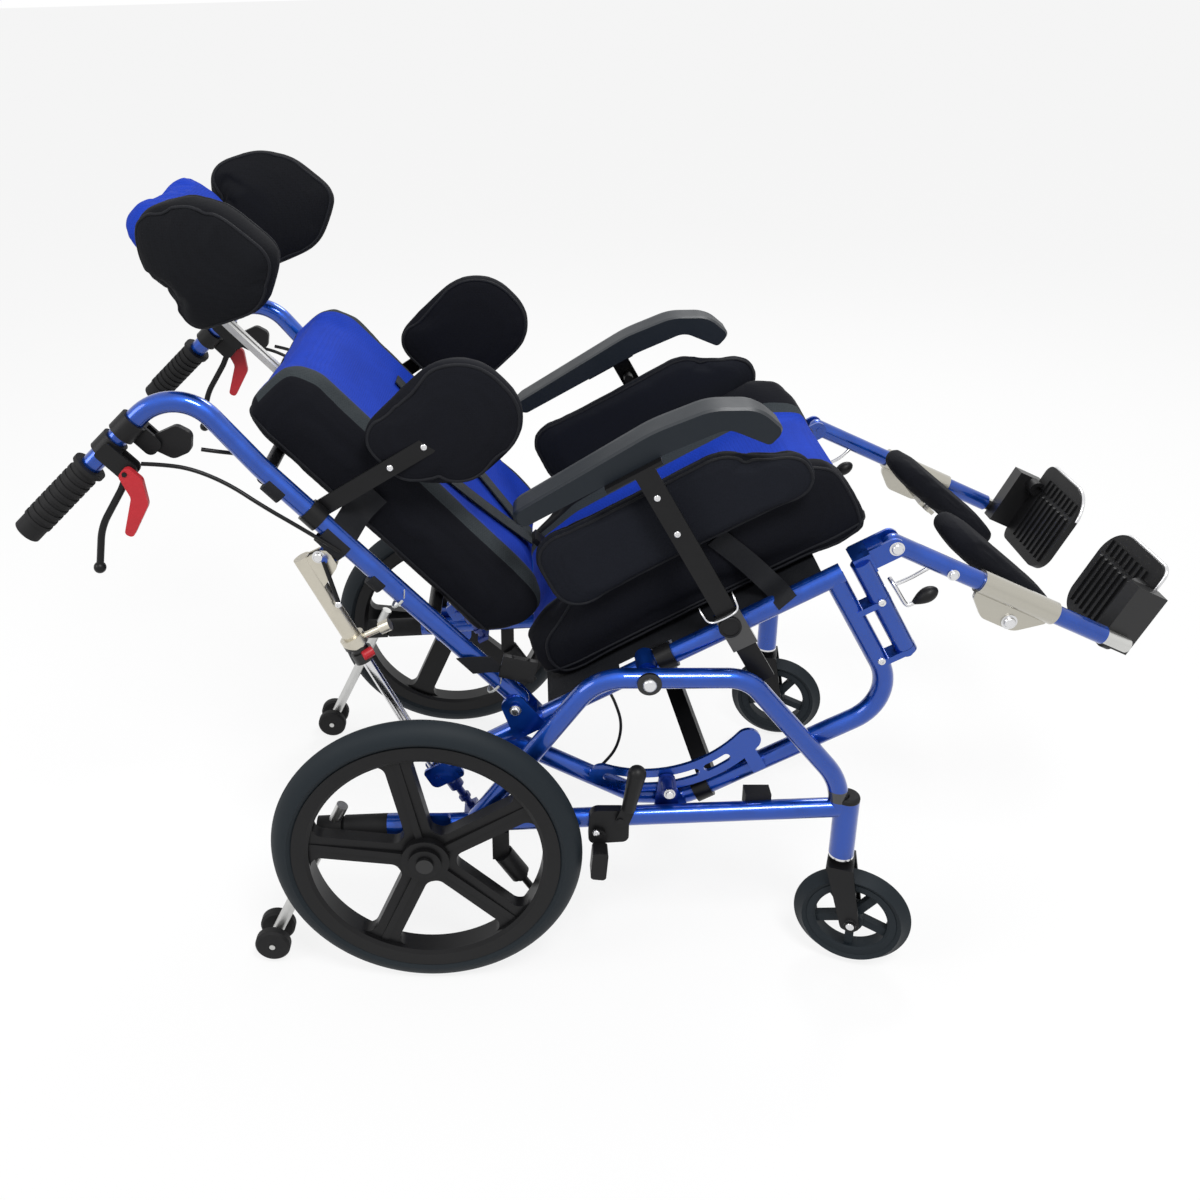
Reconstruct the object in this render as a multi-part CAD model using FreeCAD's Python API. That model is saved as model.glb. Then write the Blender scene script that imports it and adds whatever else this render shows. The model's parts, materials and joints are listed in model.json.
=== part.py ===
import FreeCAD, Part
import math
import os

# A child's wheelchair whose padded seat tilts in space on a folding tube base.
# Millimetres. X points forward, Y to the rider's left, Z up. While the pieces are made, X = 0 is the
# rear axle, Y = 0 the middle plane and Z = 0 the floor. The left side is made and mirrored to the right.

V = FreeCAD.Vector

# Tubes and the planes that they lie in
tube_r = 12.7
base_y = 262.0
seat_y = 222.0
run_gap = 0.05
seat_gap = 0.3

# Rear wheel
wheel_r = 200.5
floor_z = 2.5
axle_z = floor_z + wheel_r
wheel_y = 299.0
tyre_width = 38.0
tyre_bead_r = 172.0
rim_inner_r = 150.0
rim_width = 34.0
disc_thick = 18.0
hub_r = 31.0
hub_length = 38.0
hub_cap_r = 21.0
hub_cap_thick = 5.0
spoke_count = 5
spoke_width = 34.0
spoke_rib_width = 9.0
spoke_rib_height = 4.0
spoke_angle = 30.0
axle_r = 6.0

# Caster
caster_r = 75.0
caster_axle_z = floor_z + caster_r
caster_bead_r = 57.0
caster_rim_inner_r = 46.0
caster_width = 30.0
caster_hub_r = 15.0
caster_disc_thick = 12.0
caster_spoke_width = 11.0
caster_trail = 22.0
caster_turn_left = -15.0
caster_turn_right = -19.0
caster_bolt_r = 5.0
fork_plate = 5.0
fork_side_gap = 2.5
fork_top_gap = 4.0
crown_thick = 7.0
stem_r = 8.0
housing_x = 539.0
housing_r = 16.0
housing_bottom_z = 171.0
housing_top_z = 259.5
housing_cap_height = 6.0

# Base side frame: the lower rail and the hoop above it
rail_rear_x = -52.0
rail_rear_z = 216.0
rail_front_z = 246.5
hoop_rear_x = 60.0
hoop_top_z = 439.0
hoop_rear_corner_x = 217.0
hoop_front_corner_x = 402.0
hoop_leg_x = 528.0
hoop_leg_corner_z = 285.0
hoop_rear_bend = 65.0
hoop_front_bend = 50.0
hoop_leg_bend = 90.0
axle_plate_half = 32.0
axle_plate_thick = 5.5
axle_plate_top_z = 245.0
axle_plate_bottom_z = 178.0
axle_sleeve_r = 11.0
collar_r = 15.5
collar_length = 22.0

# Anti-tipper
sleeve_r = 15.5
sleeve_length = 60.0
socket_length = 32.0
socket_half = 16.0
anti_tube_r = 8.0
anti_wheel_x = -218.0
anti_wheel_z = 32.0
anti_wheel_r = 24.0
anti_wheel_width = 15.0
anti_top_length = 40.0
saddle_x = 411.0
saddle_length = 33.0
saddle_width = 13.5
saddle_low = 18.0
saddle_high = 21.0
anti_axle_r = 4.0

# Tilt pivot, seat angle and the slotted quadrant
pivot_x = 281.0
pivot_z = 440.0
seat_angle = 29.3
pivot_bolt_r = 6.0
pivot_washer_r = 15.0
pivot_washer_thick = 4.0
pivot_head_r = 9.0
pivot_head_thick = 6.0
pivot_boss_r = 13.0
quadrant_r = 168.0
quadrant_half = 16.0
quadrant_thick = 5.0
quadrant_y = 241.0
quadrant_from = -48.0
quadrant_to = 22.0
slot_first = -41.0
slot_pitch = 15.2
slot_count = 4
slot_half = 5.5
slot_length = 27.0
lock_angle = 10.2
lock_barrel_r = 8.5
lock_barrel_length = 26.0
lock_plate = 4.5

# Seat side frame, in the seat's own frame: u forward along the rail, w square to it, zero at the tilt pivot
rail_w = -8.0
seat_rail_rear = -294.0
seat_rail_front = 264.0
brace_top_u = -214.0
brace_low_u = -108.0
brace_low_w = -172.0
lower_w = -206.0
lower_rear_u = -50.0
post_u = 252.0
lower_front_bend = 62.0
brace_bend = 42.0
lug_thick = 8.0
lug_w = (-64.0, -142.0)
hanger_u = 288.0
hanger_pin_r = 6.0
lug_r = 13.0

# Recline pivot and the back cane, in the back's own frame: v up the cane, n square to it towards the rider
recline_u = -172.5
recline_w = 28.5
recline_angle = 13.9
recline_pin_r = 5.0
clevis_plate = 4.0
clevis_half = 24.0
clevis_top = 45.0
cane_n = 7.0
cane_bend_v = 440.0
cane_top_v = 584.0
cane_forward_n = 17.0
handle_end_n = -232.0
handle_end_y = 256.0
cane_low_bend = 160.0
cane_top_bend = 58.0

# Handles
grip_r = 17.0
grip_length = 114.0
grip_rib_height = 1.4
grip_rib_count = 9
clamp_r = 17.0
clamp_length = 24.0
brake_clamp_n = -94.0
release_clamp_n = -62.0
lever_drop = 34.0
lever_pin_r = 3.0
latch_thick = 7.0
cable_r = 2.5

# Recline strut
strut_top_v = 309.0
strut_top_n = -23.0
strut_offset = 28.0
strut_low_u = -317.0
strut_low_w = -18.0
strut_tube_r = 11.0
strut_tube_length = 160.0
strut_rod_r = 7.0
strut_rod_hidden = 85.0
strut_pin_r = 4.0
strut_open_gap = 4.2

# Seat and back cushions
cushion_half = 181.0
cushion_rear_u = -142.0
cushion_front_u = 328.0
sling_w = -3.0
sling_thick = 2.5
cushion_middle = 74.0
cushion_bolster = 127.0
back_half = 176.0
back_rear_n = 9.3
back_front_n = 116.0
back_low_front_v = 44.0
back_low_rear_v = 78.0
back_top_v = 505.0

# Trunk pads and headrest, in the back's frame
trunk_v_left = 320.0
trunk_n_left = 205.0
trunk_v_right = 317.0
trunk_n_right = 195.0
trunk_half_v = 73.0
trunk_half_n = 92.0
trunk_arm_v = 356.0
trunk_arm_end = -30.0
trunk_outer_y = 210.4
trunk_thick = 32.0
trunk_arm_thick = 4.0
trunk_arm_width = 22.0
bar_v = 430.0
bar_r = 9.0
low_bar_v = 150.0
stem_half_width = 11.0
stem_thick = 8.0
stem_slot = 6.0
stem_n = 30.0
stem_low_v = 340.0
stem_top_v = 640.0
head_v = 670.0
head_n = 84.0
head_width = 240.0
head_height = 150.0
head_thick = 46.0
wing_thick = 44.0
wing_y = 136.0
wing_n = 138.0
wing_v = 658.0
wing_turn = 14.0
head_turn = 3.5

# Armrests, in the seat's frame
post_arm_u = 120.0
post_arm_y = 239.0
post_arm_thick = 6.0
post_arm_width = 26.0
post_arm_low = -86.0
post_arm_top = 238.0
socket_low = -30.0
socket_high = 22.0
socket_wall = 3.0
arm_pad_y = 205.0
arm_pad_width = 50.0
arm_pad_thick = 27.0
guard_y = 198.0
guard_thick = 22.0
guard_rear = -66.0
guard_front = 300.0
guard_low = 92.0
guard_high = 206.0

# Hanger, legrest and footplate: the leg's own frame has x down the leg tube from the knee pivot
knee_u = 333.0
knee_w = -11.0
leg_angle = 54.8
leg_y = 205.0
knee_pin_r = 4.0
leg_tube_r = 12.0
leg_tube_length = 300.0
foot_tube_r = 9.5
foot_tube_hidden = 120.0
foot_tube_out = 36.0
calf_x = 182.0
calf_y = 112.0
calf_half_x = 104.0
calf_half_y = 46.0
calf_thick = 32.0
calf_tilt = 15.0
calf_drop = 21.0
plate_thick = 9.0
plate_low = -28.0
plate_high = 102.0
plate_inner_y = 44.0
hinge_z = 62.0
block_low = -14.0
block_high = 72.0
block_thick = 24.0

# Wheel lock on the lower rail
lock_x = 234.0
lock_y = 282.0
lock_lever_x = 248.0
lock_shoe_x = 222.0
lock_body = 12.0
lock_stud_r = 4.0


def box(x0, x1, y0, y1, z0, z1):
    return Part.makeBox(x1 - x0, y1 - y0, z1 - z0, V(x0, y0, z0))


def rod(start, end, r):
    along = end - start
    return Part.makeCylinder(r, along.Length, start, along)


def rod_y(x, z, y0, y1, r):
    return Part.makeCylinder(r, y1 - y0, V(x, y0, z), V(0, 1, 0))


def fused(pieces):
    return pieces[0].multiFuse(pieces[1:]).removeSplitter()


def mirrored(shape):
    return shape.mirror(V(0, 0, 0), V(0, 1, 0))


def pair(shape):
    return Part.makeCompound([mirrored(shape), shape])


def corner_arc(before, corner, after, radius):
    """Tangent points and the middle point of the arc that rounds a corner."""
    a = (before - corner).normalize()
    b = (after - corner).normalize()
    half = a.getAngle(b) / 2
    reach = radius / math.tan(half)
    middle = (a + b).normalize() * (radius / math.sin(half) - radius)
    return corner + a * reach, corner + middle, corner + b * reach


def bent_wire(points, radii):
    """Straight runs joined by tangent arcs; one radius for each inner point."""
    edges = []
    at = points[0]
    for i, radius in enumerate(radii):
        p, m, q = corner_arc(points[i], points[i + 1], points[i + 2], radius)
        if (p - at).Length > 0.01:
            edges.append(Part.makeLine(at, p))
        edges.append(Part.Arc(p, m, q).toShape())
        at = q
    edges.append(Part.makeLine(at, points[-1]))
    return Part.Wire(edges)


def bent_rod(points, radii, r):
    """A round bar along the same runs and arcs."""
    pieces = []
    at = points[0]
    for i, radius in enumerate(radii):
        before = (points[i + 1] - points[i]).normalize()
        after = (points[i + 2] - points[i + 1]).normalize()
        axis = before.cross(after).normalize()
        p, m, q = corner_arc(points[i], points[i + 1], points[i + 2], radius)
        ring = Part.Face(Part.Wire(Part.makeCircle(r, p, before)))
        bend = ring.revolve(p + axis.cross(before) * radius, axis, math.degrees(before.getAngle(after)))
        pieces.extend([rod(at, p, r), bend])
        at = q
    pieces.append(rod(at, points[-1], r))
    return fused(pieces)


def loop_edges(points, radii):
    """A closed outline with a round corner at each point."""
    count = len(points)
    arcs = [corner_arc(points[i - 1], points[i], points[(i + 1) % count], radii[i]) for i in range(count)]
    edges = []
    for i in range(count):
        p, m, q = arcs[i]
        edges.append(Part.Arc(p, m, q).toShape())
        nxt = arcs[(i + 1) % count][0]
        if (nxt - q).Length > 0.01:
            edges.append(Part.makeLine(q, nxt))
    return edges


def loop_face(points, radii):
    return Part.Face(Part.Wire(loop_edges(points, radii)))


def plate_xz(outline, radii, y0, y1):
    """A flat plate: an outline of (x, z) corners, from y0 to y1."""
    face = loop_face([V(x, y0, z) for x, z in outline], radii)
    return face.extrude(V(0, y1 - y0, 0))


def padded(outline, radii, y0, y1, inset, edge):
    """A pad of an (x, z) outline: its two faces are drawn in by inset over the first edge of its thickness."""
    cx = sum(p[0] for p in outline) / len(outline)
    cz = sum(p[1] for p in outline) / len(outline)
    span = max(max(abs(p[0] - cx), abs(p[1] - cz)) for p in outline)
    sections = []
    for y, draw in ((y0, inset), (y0 + edge, 0.0), (y1 - edge, 0.0), (y1, inset)):
        k = 1 - draw / span
        ring = [V(cx + (x - cx) * k, y, cz + (z - cz) * k) for x, z in outline]
        sections.append(Part.Wire(loop_edges(ring, [r * k for r in radii])))
    return Part.makeLoft(sections, True, True)


def revolved_y(outline):
    """A ring about the Y axis from (radius, y) points; a pair of points is an arc through the first."""
    edges = []
    at = V(outline[0][0], outline[0][1], 0)
    for step in outline[1:]:
        if isinstance(step[0], tuple):
            mid = V(step[0][0], step[0][1], 0)
            end = V(step[1][0], step[1][1], 0)
            edges.append(Part.Arc(at, mid, end).toShape())
        else:
            end = V(step[0], step[1], 0)
            edges.append(Part.makeLine(at, end))
        at = end
    edges.append(Part.makeLine(at, V(outline[0][0], outline[0][1], 0)))
    return Part.Face(Part.Wire(edges)).revolve(V(0, 0, 0), V(0, 1, 0), 360)


def moved(shape, x, y, z):
    shape = shape.copy()
    shape.translate(V(x, y, z))
    return shape


def turned_y(shape, angle, at=V(0, 0, 0)):
    shape = shape.copy()
    shape.rotate(at, V(0, 1, 0), angle)
    return shape


def seat_placed(shape):
    """From the seat's own frame to the chair: tilted back about the tilt pivot."""
    return moved(turned_y(shape, -seat_angle), pivot_x, 0, pivot_z)


def seat_point(u, w):
    """Where a point of the seat's frame lies on the chair, as (x, z)."""
    a = math.radians(seat_angle)
    x = pivot_x + u * math.cos(a) - w * math.sin(a)
    return x, pivot_z + u * math.sin(a) + w * math.cos(a)


def back_placed(shape):
    """From the back's own frame, X for n and Z for v, to the chair."""
    return seat_placed(moved(turned_y(shape, -recline_angle), recline_u, 0, recline_w))


def back_in_seat(n, v):
    a = math.radians(recline_angle)
    return recline_u + n * math.cos(a) - v * math.sin(a), recline_w + n * math.sin(a) + v * math.cos(a)


def back_point(n, v):
    u, w = back_in_seat(n, v)
    return seat_point(u, w)


def leg_placed(shape):
    return seat_placed(moved(turned_y(shape, leg_angle), knee_u, 0, knee_w))


def leg_in_seat(x, z):
    a = math.radians(leg_angle)
    return knee_u + x * math.cos(a) + z * math.sin(a), knee_w - x * math.sin(a) + z * math.cos(a)


def rail_z(x):
    """Height of the lower rail's middle line."""
    return rail_rear_z + (x - rail_rear_x) * (rail_front_z - rail_rear_z) / (housing_x - rail_rear_x)


# Base side frame


def hoop():
    y = base_y
    points = [
        V(hoop_rear_x, y, rail_z(hoop_rear_x)),
        V(hoop_rear_corner_x, y, hoop_top_z),
        V(hoop_front_corner_x, y, hoop_top_z),
        V(hoop_leg_x, y, hoop_leg_corner_z),
        V(hoop_leg_x, y, rail_z(hoop_leg_x)),
    ]
    return bent_rod(points, [hoop_rear_bend, hoop_front_bend, hoop_leg_bend], tube_r)


def axle_plate():
    y0 = base_y + tube_r - 1.0
    y1 = y0 + axle_plate_thick
    h = axle_plate_half
    outline = [
        (-h, axle_plate_bottom_z),
        (h, axle_plate_bottom_z),
        (h, axle_plate_top_z),
        (-h, axle_plate_top_z),
    ]
    plate = plate_xz(outline, [14, 14, 8, 8], y0, y1)
    sleeve = rod_y(0, axle_z, base_y - tube_r, y1, axle_sleeve_r)
    return plate.fuse(sleeve)


def rail():
    start = V(rail_rear_x, base_y, rail_z(rail_rear_x))
    end = V(housing_x - 6.0, base_y, rail_z(housing_x - 6.0))
    along = (end - start).normalize()
    collar = rod(start, start + along * collar_length, collar_r)
    return [rod(start, end, tube_r), collar]


def caster_housing():
    height = housing_top_z - housing_bottom_z
    return Part.makeCylinder(housing_r, height, V(housing_x, base_y, housing_bottom_z))


def base_frame():
    body = fused(rail() + [hoop(), axle_plate(), caster_housing()])
    reach = wheel_y + tyre_width
    body = body.cut(rod_y(0, axle_z, base_y - 2 * tube_r, reach, axle_r + run_gap))
    bore = Part.makeCylinder(stem_r + run_gap, housing_top_z, V(housing_x, base_y, 0))
    body = body.cut(bore)
    return body.cut(rod_y(pivot_x, pivot_z, base_y - 2 * tube_r, reach, pivot_bolt_r + run_gap))


def rail_direction():
    return V(housing_x - rail_rear_x, 0, rail_front_z - rail_rear_z).normalize()


def anti_tip_sleeve():
    start = V(rail_rear_x, base_y, rail_z(rail_rear_x))
    sleeve = rod(start, start - rail_direction() * sleeve_length, sleeve_r)
    rear = [e for e in sleeve.Edges if e.BoundBox.XMax < rail_rear_x - sleeve_length + 3.0]
    return sleeve.makeChamfer(3.5, rear[:1])


def housing_cap():
    low = housing_top_z + seat_gap
    dome = Part.makeCylinder(housing_r, housing_cap_height, V(housing_x, base_y, low))
    top = [e for e in dome.Edges if abs(e.BoundBox.ZMin - low - housing_cap_height) < 0.01]
    dome = dome.makeFillet(4.0, top[:1])
    leg = Part.makeCylinder(tube_r + seat_gap, 60.0, V(hoop_leg_x, base_y, rail_front_z))
    return dome.cut(leg)


def rail_saddle():
    """The black rest on the lower rail's inner side, for the seat's lower tube when the chair is folded."""
    z = rail_z(saddle_x)
    start = V(saddle_x, base_y, z)
    inner = base_y - tube_r - saddle_width
    block = box(saddle_x, saddle_x + saddle_length, inner, base_y - 5.0, z - saddle_low, z + saddle_high)
    hole = rod(start - rail_direction() * 9, start + rail_direction() * (saddle_length + 9), tube_r + run_gap)
    return block.cut(hole)


def rear_axle():
    inner = base_y - tube_r
    outer = wheel_y + hub_length / 2 + hub_cap_thick + seat_gap
    pin = rod_y(0, axle_z, inner, outer, axle_r)
    cap = rod_y(0, axle_z, outer, outer + 4.0, 11.0)
    nut = rod_y(0, axle_z, inner - 7.0, inner - seat_gap, 10.0)
    pin = pin.fuse(rod_y(0, axle_z, inner - 7.0, inner + 1.0, axle_r))
    return fused([pin, cap, nut])


def tilt_bolt():
    outer = base_y + tube_r
    pin = rod_y(pivot_x, pivot_z, seat_y - tube_r + 2, outer + pivot_washer_thick + 1, pivot_bolt_r)
    washer = rod_y(pivot_x, pivot_z, outer + 0.1, outer + pivot_washer_thick, pivot_washer_r)
    y1 = outer + pivot_washer_thick
    head = rod_y(pivot_x, pivot_z, y1, y1 + pivot_head_thick, pivot_head_r)
    rim = [e for e in head.Edges if e.BoundBox.YMin > y1 + pivot_head_thick - 0.01]
    head = head.makeFillet(pivot_head_thick - 1.0, rim[:1])
    return fused([pin, washer, head])


# Tilt lock on the lower rail, and the rubber stop that the seat's rear end rests on


def lock_point():
    a = math.radians(lock_angle)
    return pivot_x + quadrant_r * math.sin(a), pivot_z - quadrant_r * math.cos(a)


def tilt_lock():
    x, z = lock_point()
    outer = base_y - tube_r - seat_gap
    inner = outer - lock_plate
    low = rail_z(x) - 8.0
    outline = [(x - 16, low), (x + 18, low), (x + 10, z + 10), (x - 10, z + 10)]
    plate = plate_xz(outline, [5, 5, 8, 8], inner, outer)
    barrel = rod_y(x, z, inner, inner + lock_barrel_length, lock_barrel_r)
    knob = rod_y(x, z, inner + lock_barrel_length, inner + lock_barrel_length + 6, lock_barrel_r - 3)
    return fused([plate, barrel, knob])


def tilt_stop():
    """A buffer on a threaded stem, on an arm that reaches in from the hoop's foot."""
    u = strut_low_u + 11.0
    top = -31.0 - seat_gap
    buffer = Part.makeCylinder(10.0, 16.0, V(u, seat_y, top - 16.0))
    top_edge = [e for e in buffer.Edges if abs(e.BoundBox.ZMin - top) < 0.01]
    buffer = buffer.makeFillet(5.0, top_edge[:1])
    stem = Part.makeCylinder(5.0, 34.0, V(u, seat_y, top - 50.0))
    nut = Part.makeCylinder(8.0, 5.0, V(u, seat_y, top - 38.0))
    arm = box(u - 9, u + 9, seat_y - 9, base_y - tube_r - seat_gap, top - 56.0, top - 50.0)
    return seat_placed(fused([buffer, stem, nut, arm]))


def tilt_hardware():
    return [tilt_lock(), tilt_stop()]


# Brakes on the lower rail


def wheel_lock_bracket():
    """The clamped body of the wheel lock, with the studs that its lever and its shoe turn on."""
    z = rail_z(lock_x)
    y0 = base_y + tube_r + seat_gap
    outline = [(lock_x - 26, z - 24), (lock_x + 26, z - 20), (lock_x + 26, z + 28), (lock_x - 24, z + 28)]
    body = plate_xz(outline, [9, 9, 12, 12], y0, y0 + lock_body)
    studs = [rod_y(x, z1, y0 + 1, y0 + lock_body + 7.0, lock_stud_r) for x, z1 in (lock_lever_pivot(), lock_shoe_pivot())]
    return fused([body] + studs)


def attendant_brake():
    """The lever-worked brake: a spring barrel under the rail with its rod beside the tyre."""
    y = base_y + 2.0
    start = V(98.0, y, 172.0)
    along = V(0.547, 0, -0.837)
    barrel = rod(start, start + along * 40.0, 13.5)
    neck = rod(start + along * 39.0, start + along * 46.0, 8.0)
    plunger = rod(start + along * 45.0, start + along * 78.0, 4.5)
    hanger = box(84.0, 106.0, y - 5.0, y + 5.0, 166.0, rail_z(84.0) - tube_r - 2 * seat_gap)
    return fused([barrel, neck, plunger, hanger])


def lock_lever_pivot():
    return lock_lever_x, rail_z(lock_lever_x) + 16.0


def lock_shoe_pivot():
    return lock_shoe_x, rail_z(lock_shoe_x) - 6.0


def wheel_lock_lever():
    y0 = base_y + tube_r + lock_body + 2 * seat_gap
    x, z = lock_lever_pivot()
    outline = [(x - 10, z - 10), (x + 10, z - 10), (x + 22, z + 26), (x + 6, z + 30)]
    arm = plate_xz(outline, [9, 9, 6, 6], y0, y0 + 5.0)
    start = V(x + 10, y0 + 2.5, z + 16)
    end = V(x + 20, y0 + 2.5, z + 70)
    knob = Part.makeCone(8.5, 11.5, (end - start).Length, start, end - start)
    body = fused([arm, knob, Part.makeSphere(11.5, end, end - start)])
    return body.cut(rod_y(x, z, y0 - 5, y0 + 5.2, lock_stud_r + run_gap))


def wheel_lock_shoe():
    y0 = base_y + tube_r + lock_body + 2 * seat_gap
    x, z = lock_shoe_pivot()
    arm = plate_xz([(x - 8, z + 8), (x - 8, z - 30), (x + 8, z - 30), (x + 8, z + 8)], [7, 3, 3, 7], y0, y0 + 5.0)
    outline = [(x - 9, z - 12), (x - 12, z - 52), (x + 8, z - 54), (x + 11, z - 12)]
    shoe = plate_xz(outline, [4, 5, 5, 4], y0 + 4.0, y0 + 26.0)
    return arm.fuse(shoe).removeSplitter().cut(rod_y(x, z, y0 - 5, y0 + 8, lock_stud_r + run_gap))


# Rear wheel, about the Y axis


def wheel_window():
    """One gap between two spokes."""
    half = math.pi / spoke_count
    side = spoke_width / 2
    inner = hub_r + 9.0
    corners = []
    for r, sign in ((rim_inner_r, 1), (inner, 1), (inner, -1), (rim_inner_r, -1)):
        reach = half - math.asin(side / r)
        corners.append((r, sign * reach))
    points = [V(r * math.cos(a), -disc_thick, r * math.sin(a)) for r, a in corners]
    outer_mid = V(rim_inner_r, -disc_thick, 0)
    inner_mid = V(inner, -disc_thick, 0)
    edges = [
        Part.makeLine(points[0], points[1]),
        Part.Arc(points[1], inner_mid, points[2]).toShape(),
        Part.makeLine(points[2], points[3]),
        Part.Arc(points[3], outer_mid, points[0]).toShape(),
    ]
    prism = Part.Face(Part.Wire(edges)).extrude(V(0, 2 * disc_thick, 0))
    sides = [e for e in prism.Edges if len(e.Vertexes) == 2 and abs(e.BoundBox.YLength - 2 * disc_thick) < 0.01]
    return turned_y(prism.makeFillet(13.0, sides), -math.degrees(half))


def spoke_rib():
    rise = disc_thick / 2
    profile = [
        V(hub_r - 2, rise - 1, -spoke_rib_width / 2),
        V(rim_inner_r + 2, rise - 1, -spoke_rib_width / 2),
        V(rim_inner_r + 2, rise + 1.0, -spoke_rib_width / 2),
        V(hub_r - 2, rise + spoke_rib_height, -spoke_rib_width / 2),
    ]
    face = Part.Face(Part.makePolygon(profile + profile[:1]))
    return face.extrude(V(0, 0, spoke_rib_width))


def mag_wheel():
    half = rim_width / 2
    r0 = rim_inner_r
    r1 = tyre_bead_r
    rim = revolved_y([(r0, -half + 3), (r0 + 5, -half), (r1, -half), (r1, half), (r0 + 5, half), (r0, half - 3)])
    disc = rod_y(0, 0, -disc_thick / 2, disc_thick / 2, rim_inner_r + 1)
    window = wheel_window()
    step = 360.0 / spoke_count
    cuts = [turned_y(window, -spoke_angle - step * i) for i in range(spoke_count)]
    disc = disc.cut(Part.makeCompound(cuts))
    ribs = [turned_y(spoke_rib(), -spoke_angle - step * i) for i in range(spoke_count)]
    hub = rod_y(0, 0, -hub_length / 2, hub_length / 2, hub_r)
    cap = rod_y(0, 0, hub_length / 2, hub_length / 2 + hub_cap_thick, hub_cap_r)
    wheel = fused([rim, disc, hub, cap] + ribs)
    return wheel.cut(rod_y(0, 0, -hub_length, hub_length, axle_r + run_gap))


def tyre(bead, outer, width):
    side = width / 2
    shoulder = outer - 0.72 * side
    return revolved_y(
        [
            (bead, -side + 4),
            (bead + 6, -side),
            ((shoulder, -side * 0.86), (outer, 0)),
            ((shoulder, side * 0.86), (bead + 6, side)),
            (bead, side - 4),
        ]
    )


def rear_wheel_placed(shape):
    return moved(shape, 0, wheel_y, axle_z)


# Caster, about its swivel line; the fork is made facing forward and then turned


def caster_placed(shape):
    return moved(shape, housing_x, base_y, 0)


def caster_fork():
    gap = caster_width / 2 + fork_side_gap
    outer = gap + fork_plate
    crown_z = caster_axle_z + caster_r + fork_top_gap
    top_z = crown_z + crown_thick
    crown = box(-16, 18, -outer, outer, crown_z, top_z)
    outline = [(-16, top_z), (caster_trail - 12, caster_axle_z - 8), (caster_trail + 2, caster_axle_z - 13)]
    outline += [(caster_trail + 12, caster_axle_z - 4), (18, top_z)]
    legs = [plate_xz(outline, [2, 7, 6, 7, 2], s, s + fork_plate) for s in (-outer, gap)]
    collar = Part.makeCylinder(13.0, housing_bottom_z - seat_gap - top_z + 1, V(0, 0, top_z - 1))
    stem = Part.makeCylinder(stem_r, housing_top_z - 6 - top_z, V(0, 0, top_z))
    bolt = rod_y(caster_trail, caster_axle_z, -outer - 4, outer + 4, caster_bolt_r)
    heads = [rod_y(caster_trail, caster_axle_z, s, s + 4, 7.5) for s in (-outer - 4, outer)]
    return fused([crown, collar, stem, bolt] + legs + heads)


def caster_rim():
    half = caster_width / 2 - 3
    r0 = caster_rim_inner_r
    rim = revolved_y([(r0, -half + 2), (r0 + 3, -half), (caster_bead_r, -half), (caster_bead_r, half), (r0 + 3, half), (r0, half - 2)])
    hub = rod_y(0, 0, -caster_width / 2, caster_width / 2, caster_hub_r)
    arms = []
    for i in range(spoke_count):
        arm = box(caster_hub_r - 3, r0 + 2, -caster_disc_thick / 2, caster_disc_thick / 2, -caster_spoke_width / 2, caster_spoke_width / 2)
        arms.append(turned_y(arm, 18.0 + 72.0 * i))
    wheel = fused([rim, hub] + arms)
    return wheel.cut(rod_y(0, 0, -caster_width, caster_width, caster_bolt_r + run_gap))


def caster_wheel():
    parts = [caster_rim(), tyre(caster_bead_r, caster_r, caster_width)]
    return moved(Part.makeCompound(parts), caster_trail, 0, caster_axle_z)


# Anti-tipper: a socket on the sleeve's end that carries a slanted tube with twin wheels


def anti_tip_middle():
    start = V(rail_rear_x, base_y, rail_z(rail_rear_x))
    return start - rail_direction() * (sleeve_length + seat_gap + socket_length / 2)


def anti_tip_down():
    """The direction of the slanted tube, from its socket to the wheels."""
    return (V(anti_wheel_x, base_y, anti_wheel_z) - anti_tip_middle()).normalize()


def anti_tip_socket():
    """The plug on the rail's sleeve that holds the slanted tube; its button frees the tube."""
    middle = anti_tip_middle()
    face = middle + rail_direction() * (socket_length / 2)
    plug = rod(face, face - rail_direction() * socket_length, socket_half)
    out = base_y + socket_half
    button = rod_y(middle.x, middle.z, out - 6, out + 5, 6.0)
    along = anti_tip_down() * 60
    hole = rod(middle - along, middle + along, anti_tube_r + run_gap)
    return fused([plug, button]).cut(hole).Solids[0]


def anti_tip_tube():
    low = V(anti_wheel_x, base_y, anti_wheel_z)
    down = anti_tip_down()
    tube = rod(anti_tip_middle() - down * anti_top_length, low + down * 4.0, anti_tube_r)
    axle = rod_y(anti_wheel_x, anti_wheel_z, base_y - 27, base_y + 27, anti_axle_r)
    return tube.fuse(axle)


def anti_tip_wheels():
    wheels = []
    for y0 in (base_y - 26.0, base_y + 26.0 - anti_wheel_width):
        wheel = rod_y(anti_wheel_x, anti_wheel_z, y0, y0 + anti_wheel_width, anti_wheel_r)
        rims = [e for e in wheel.Edges if e.BoundBox.XLength > anti_wheel_r]
        wheel = wheel.makeChamfer(3.0, rims)
        wheels.append(wheel.cut(rod_y(anti_wheel_x, anti_wheel_z, y0 - 1, y0 + 40, anti_axle_r + run_gap)))
    return Part.makeCompound(wheels)


# Seat side frame, in the seat's frame


def seat_tubes():
    y = seat_y
    top = rod(V(seat_rail_rear, y, rail_w), V(seat_rail_front, y, rail_w), tube_r)
    points = [
        V(brace_top_u, y, rail_w),
        V(brace_low_u, y, brace_low_w),
        V(lower_rear_u, y, lower_w),
        V(post_u, y, lower_w),
        V(post_u, y, rail_w),
    ]
    return [top, bent_rod(points, [brace_bend, brace_bend, lower_front_bend], tube_r)]


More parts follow.
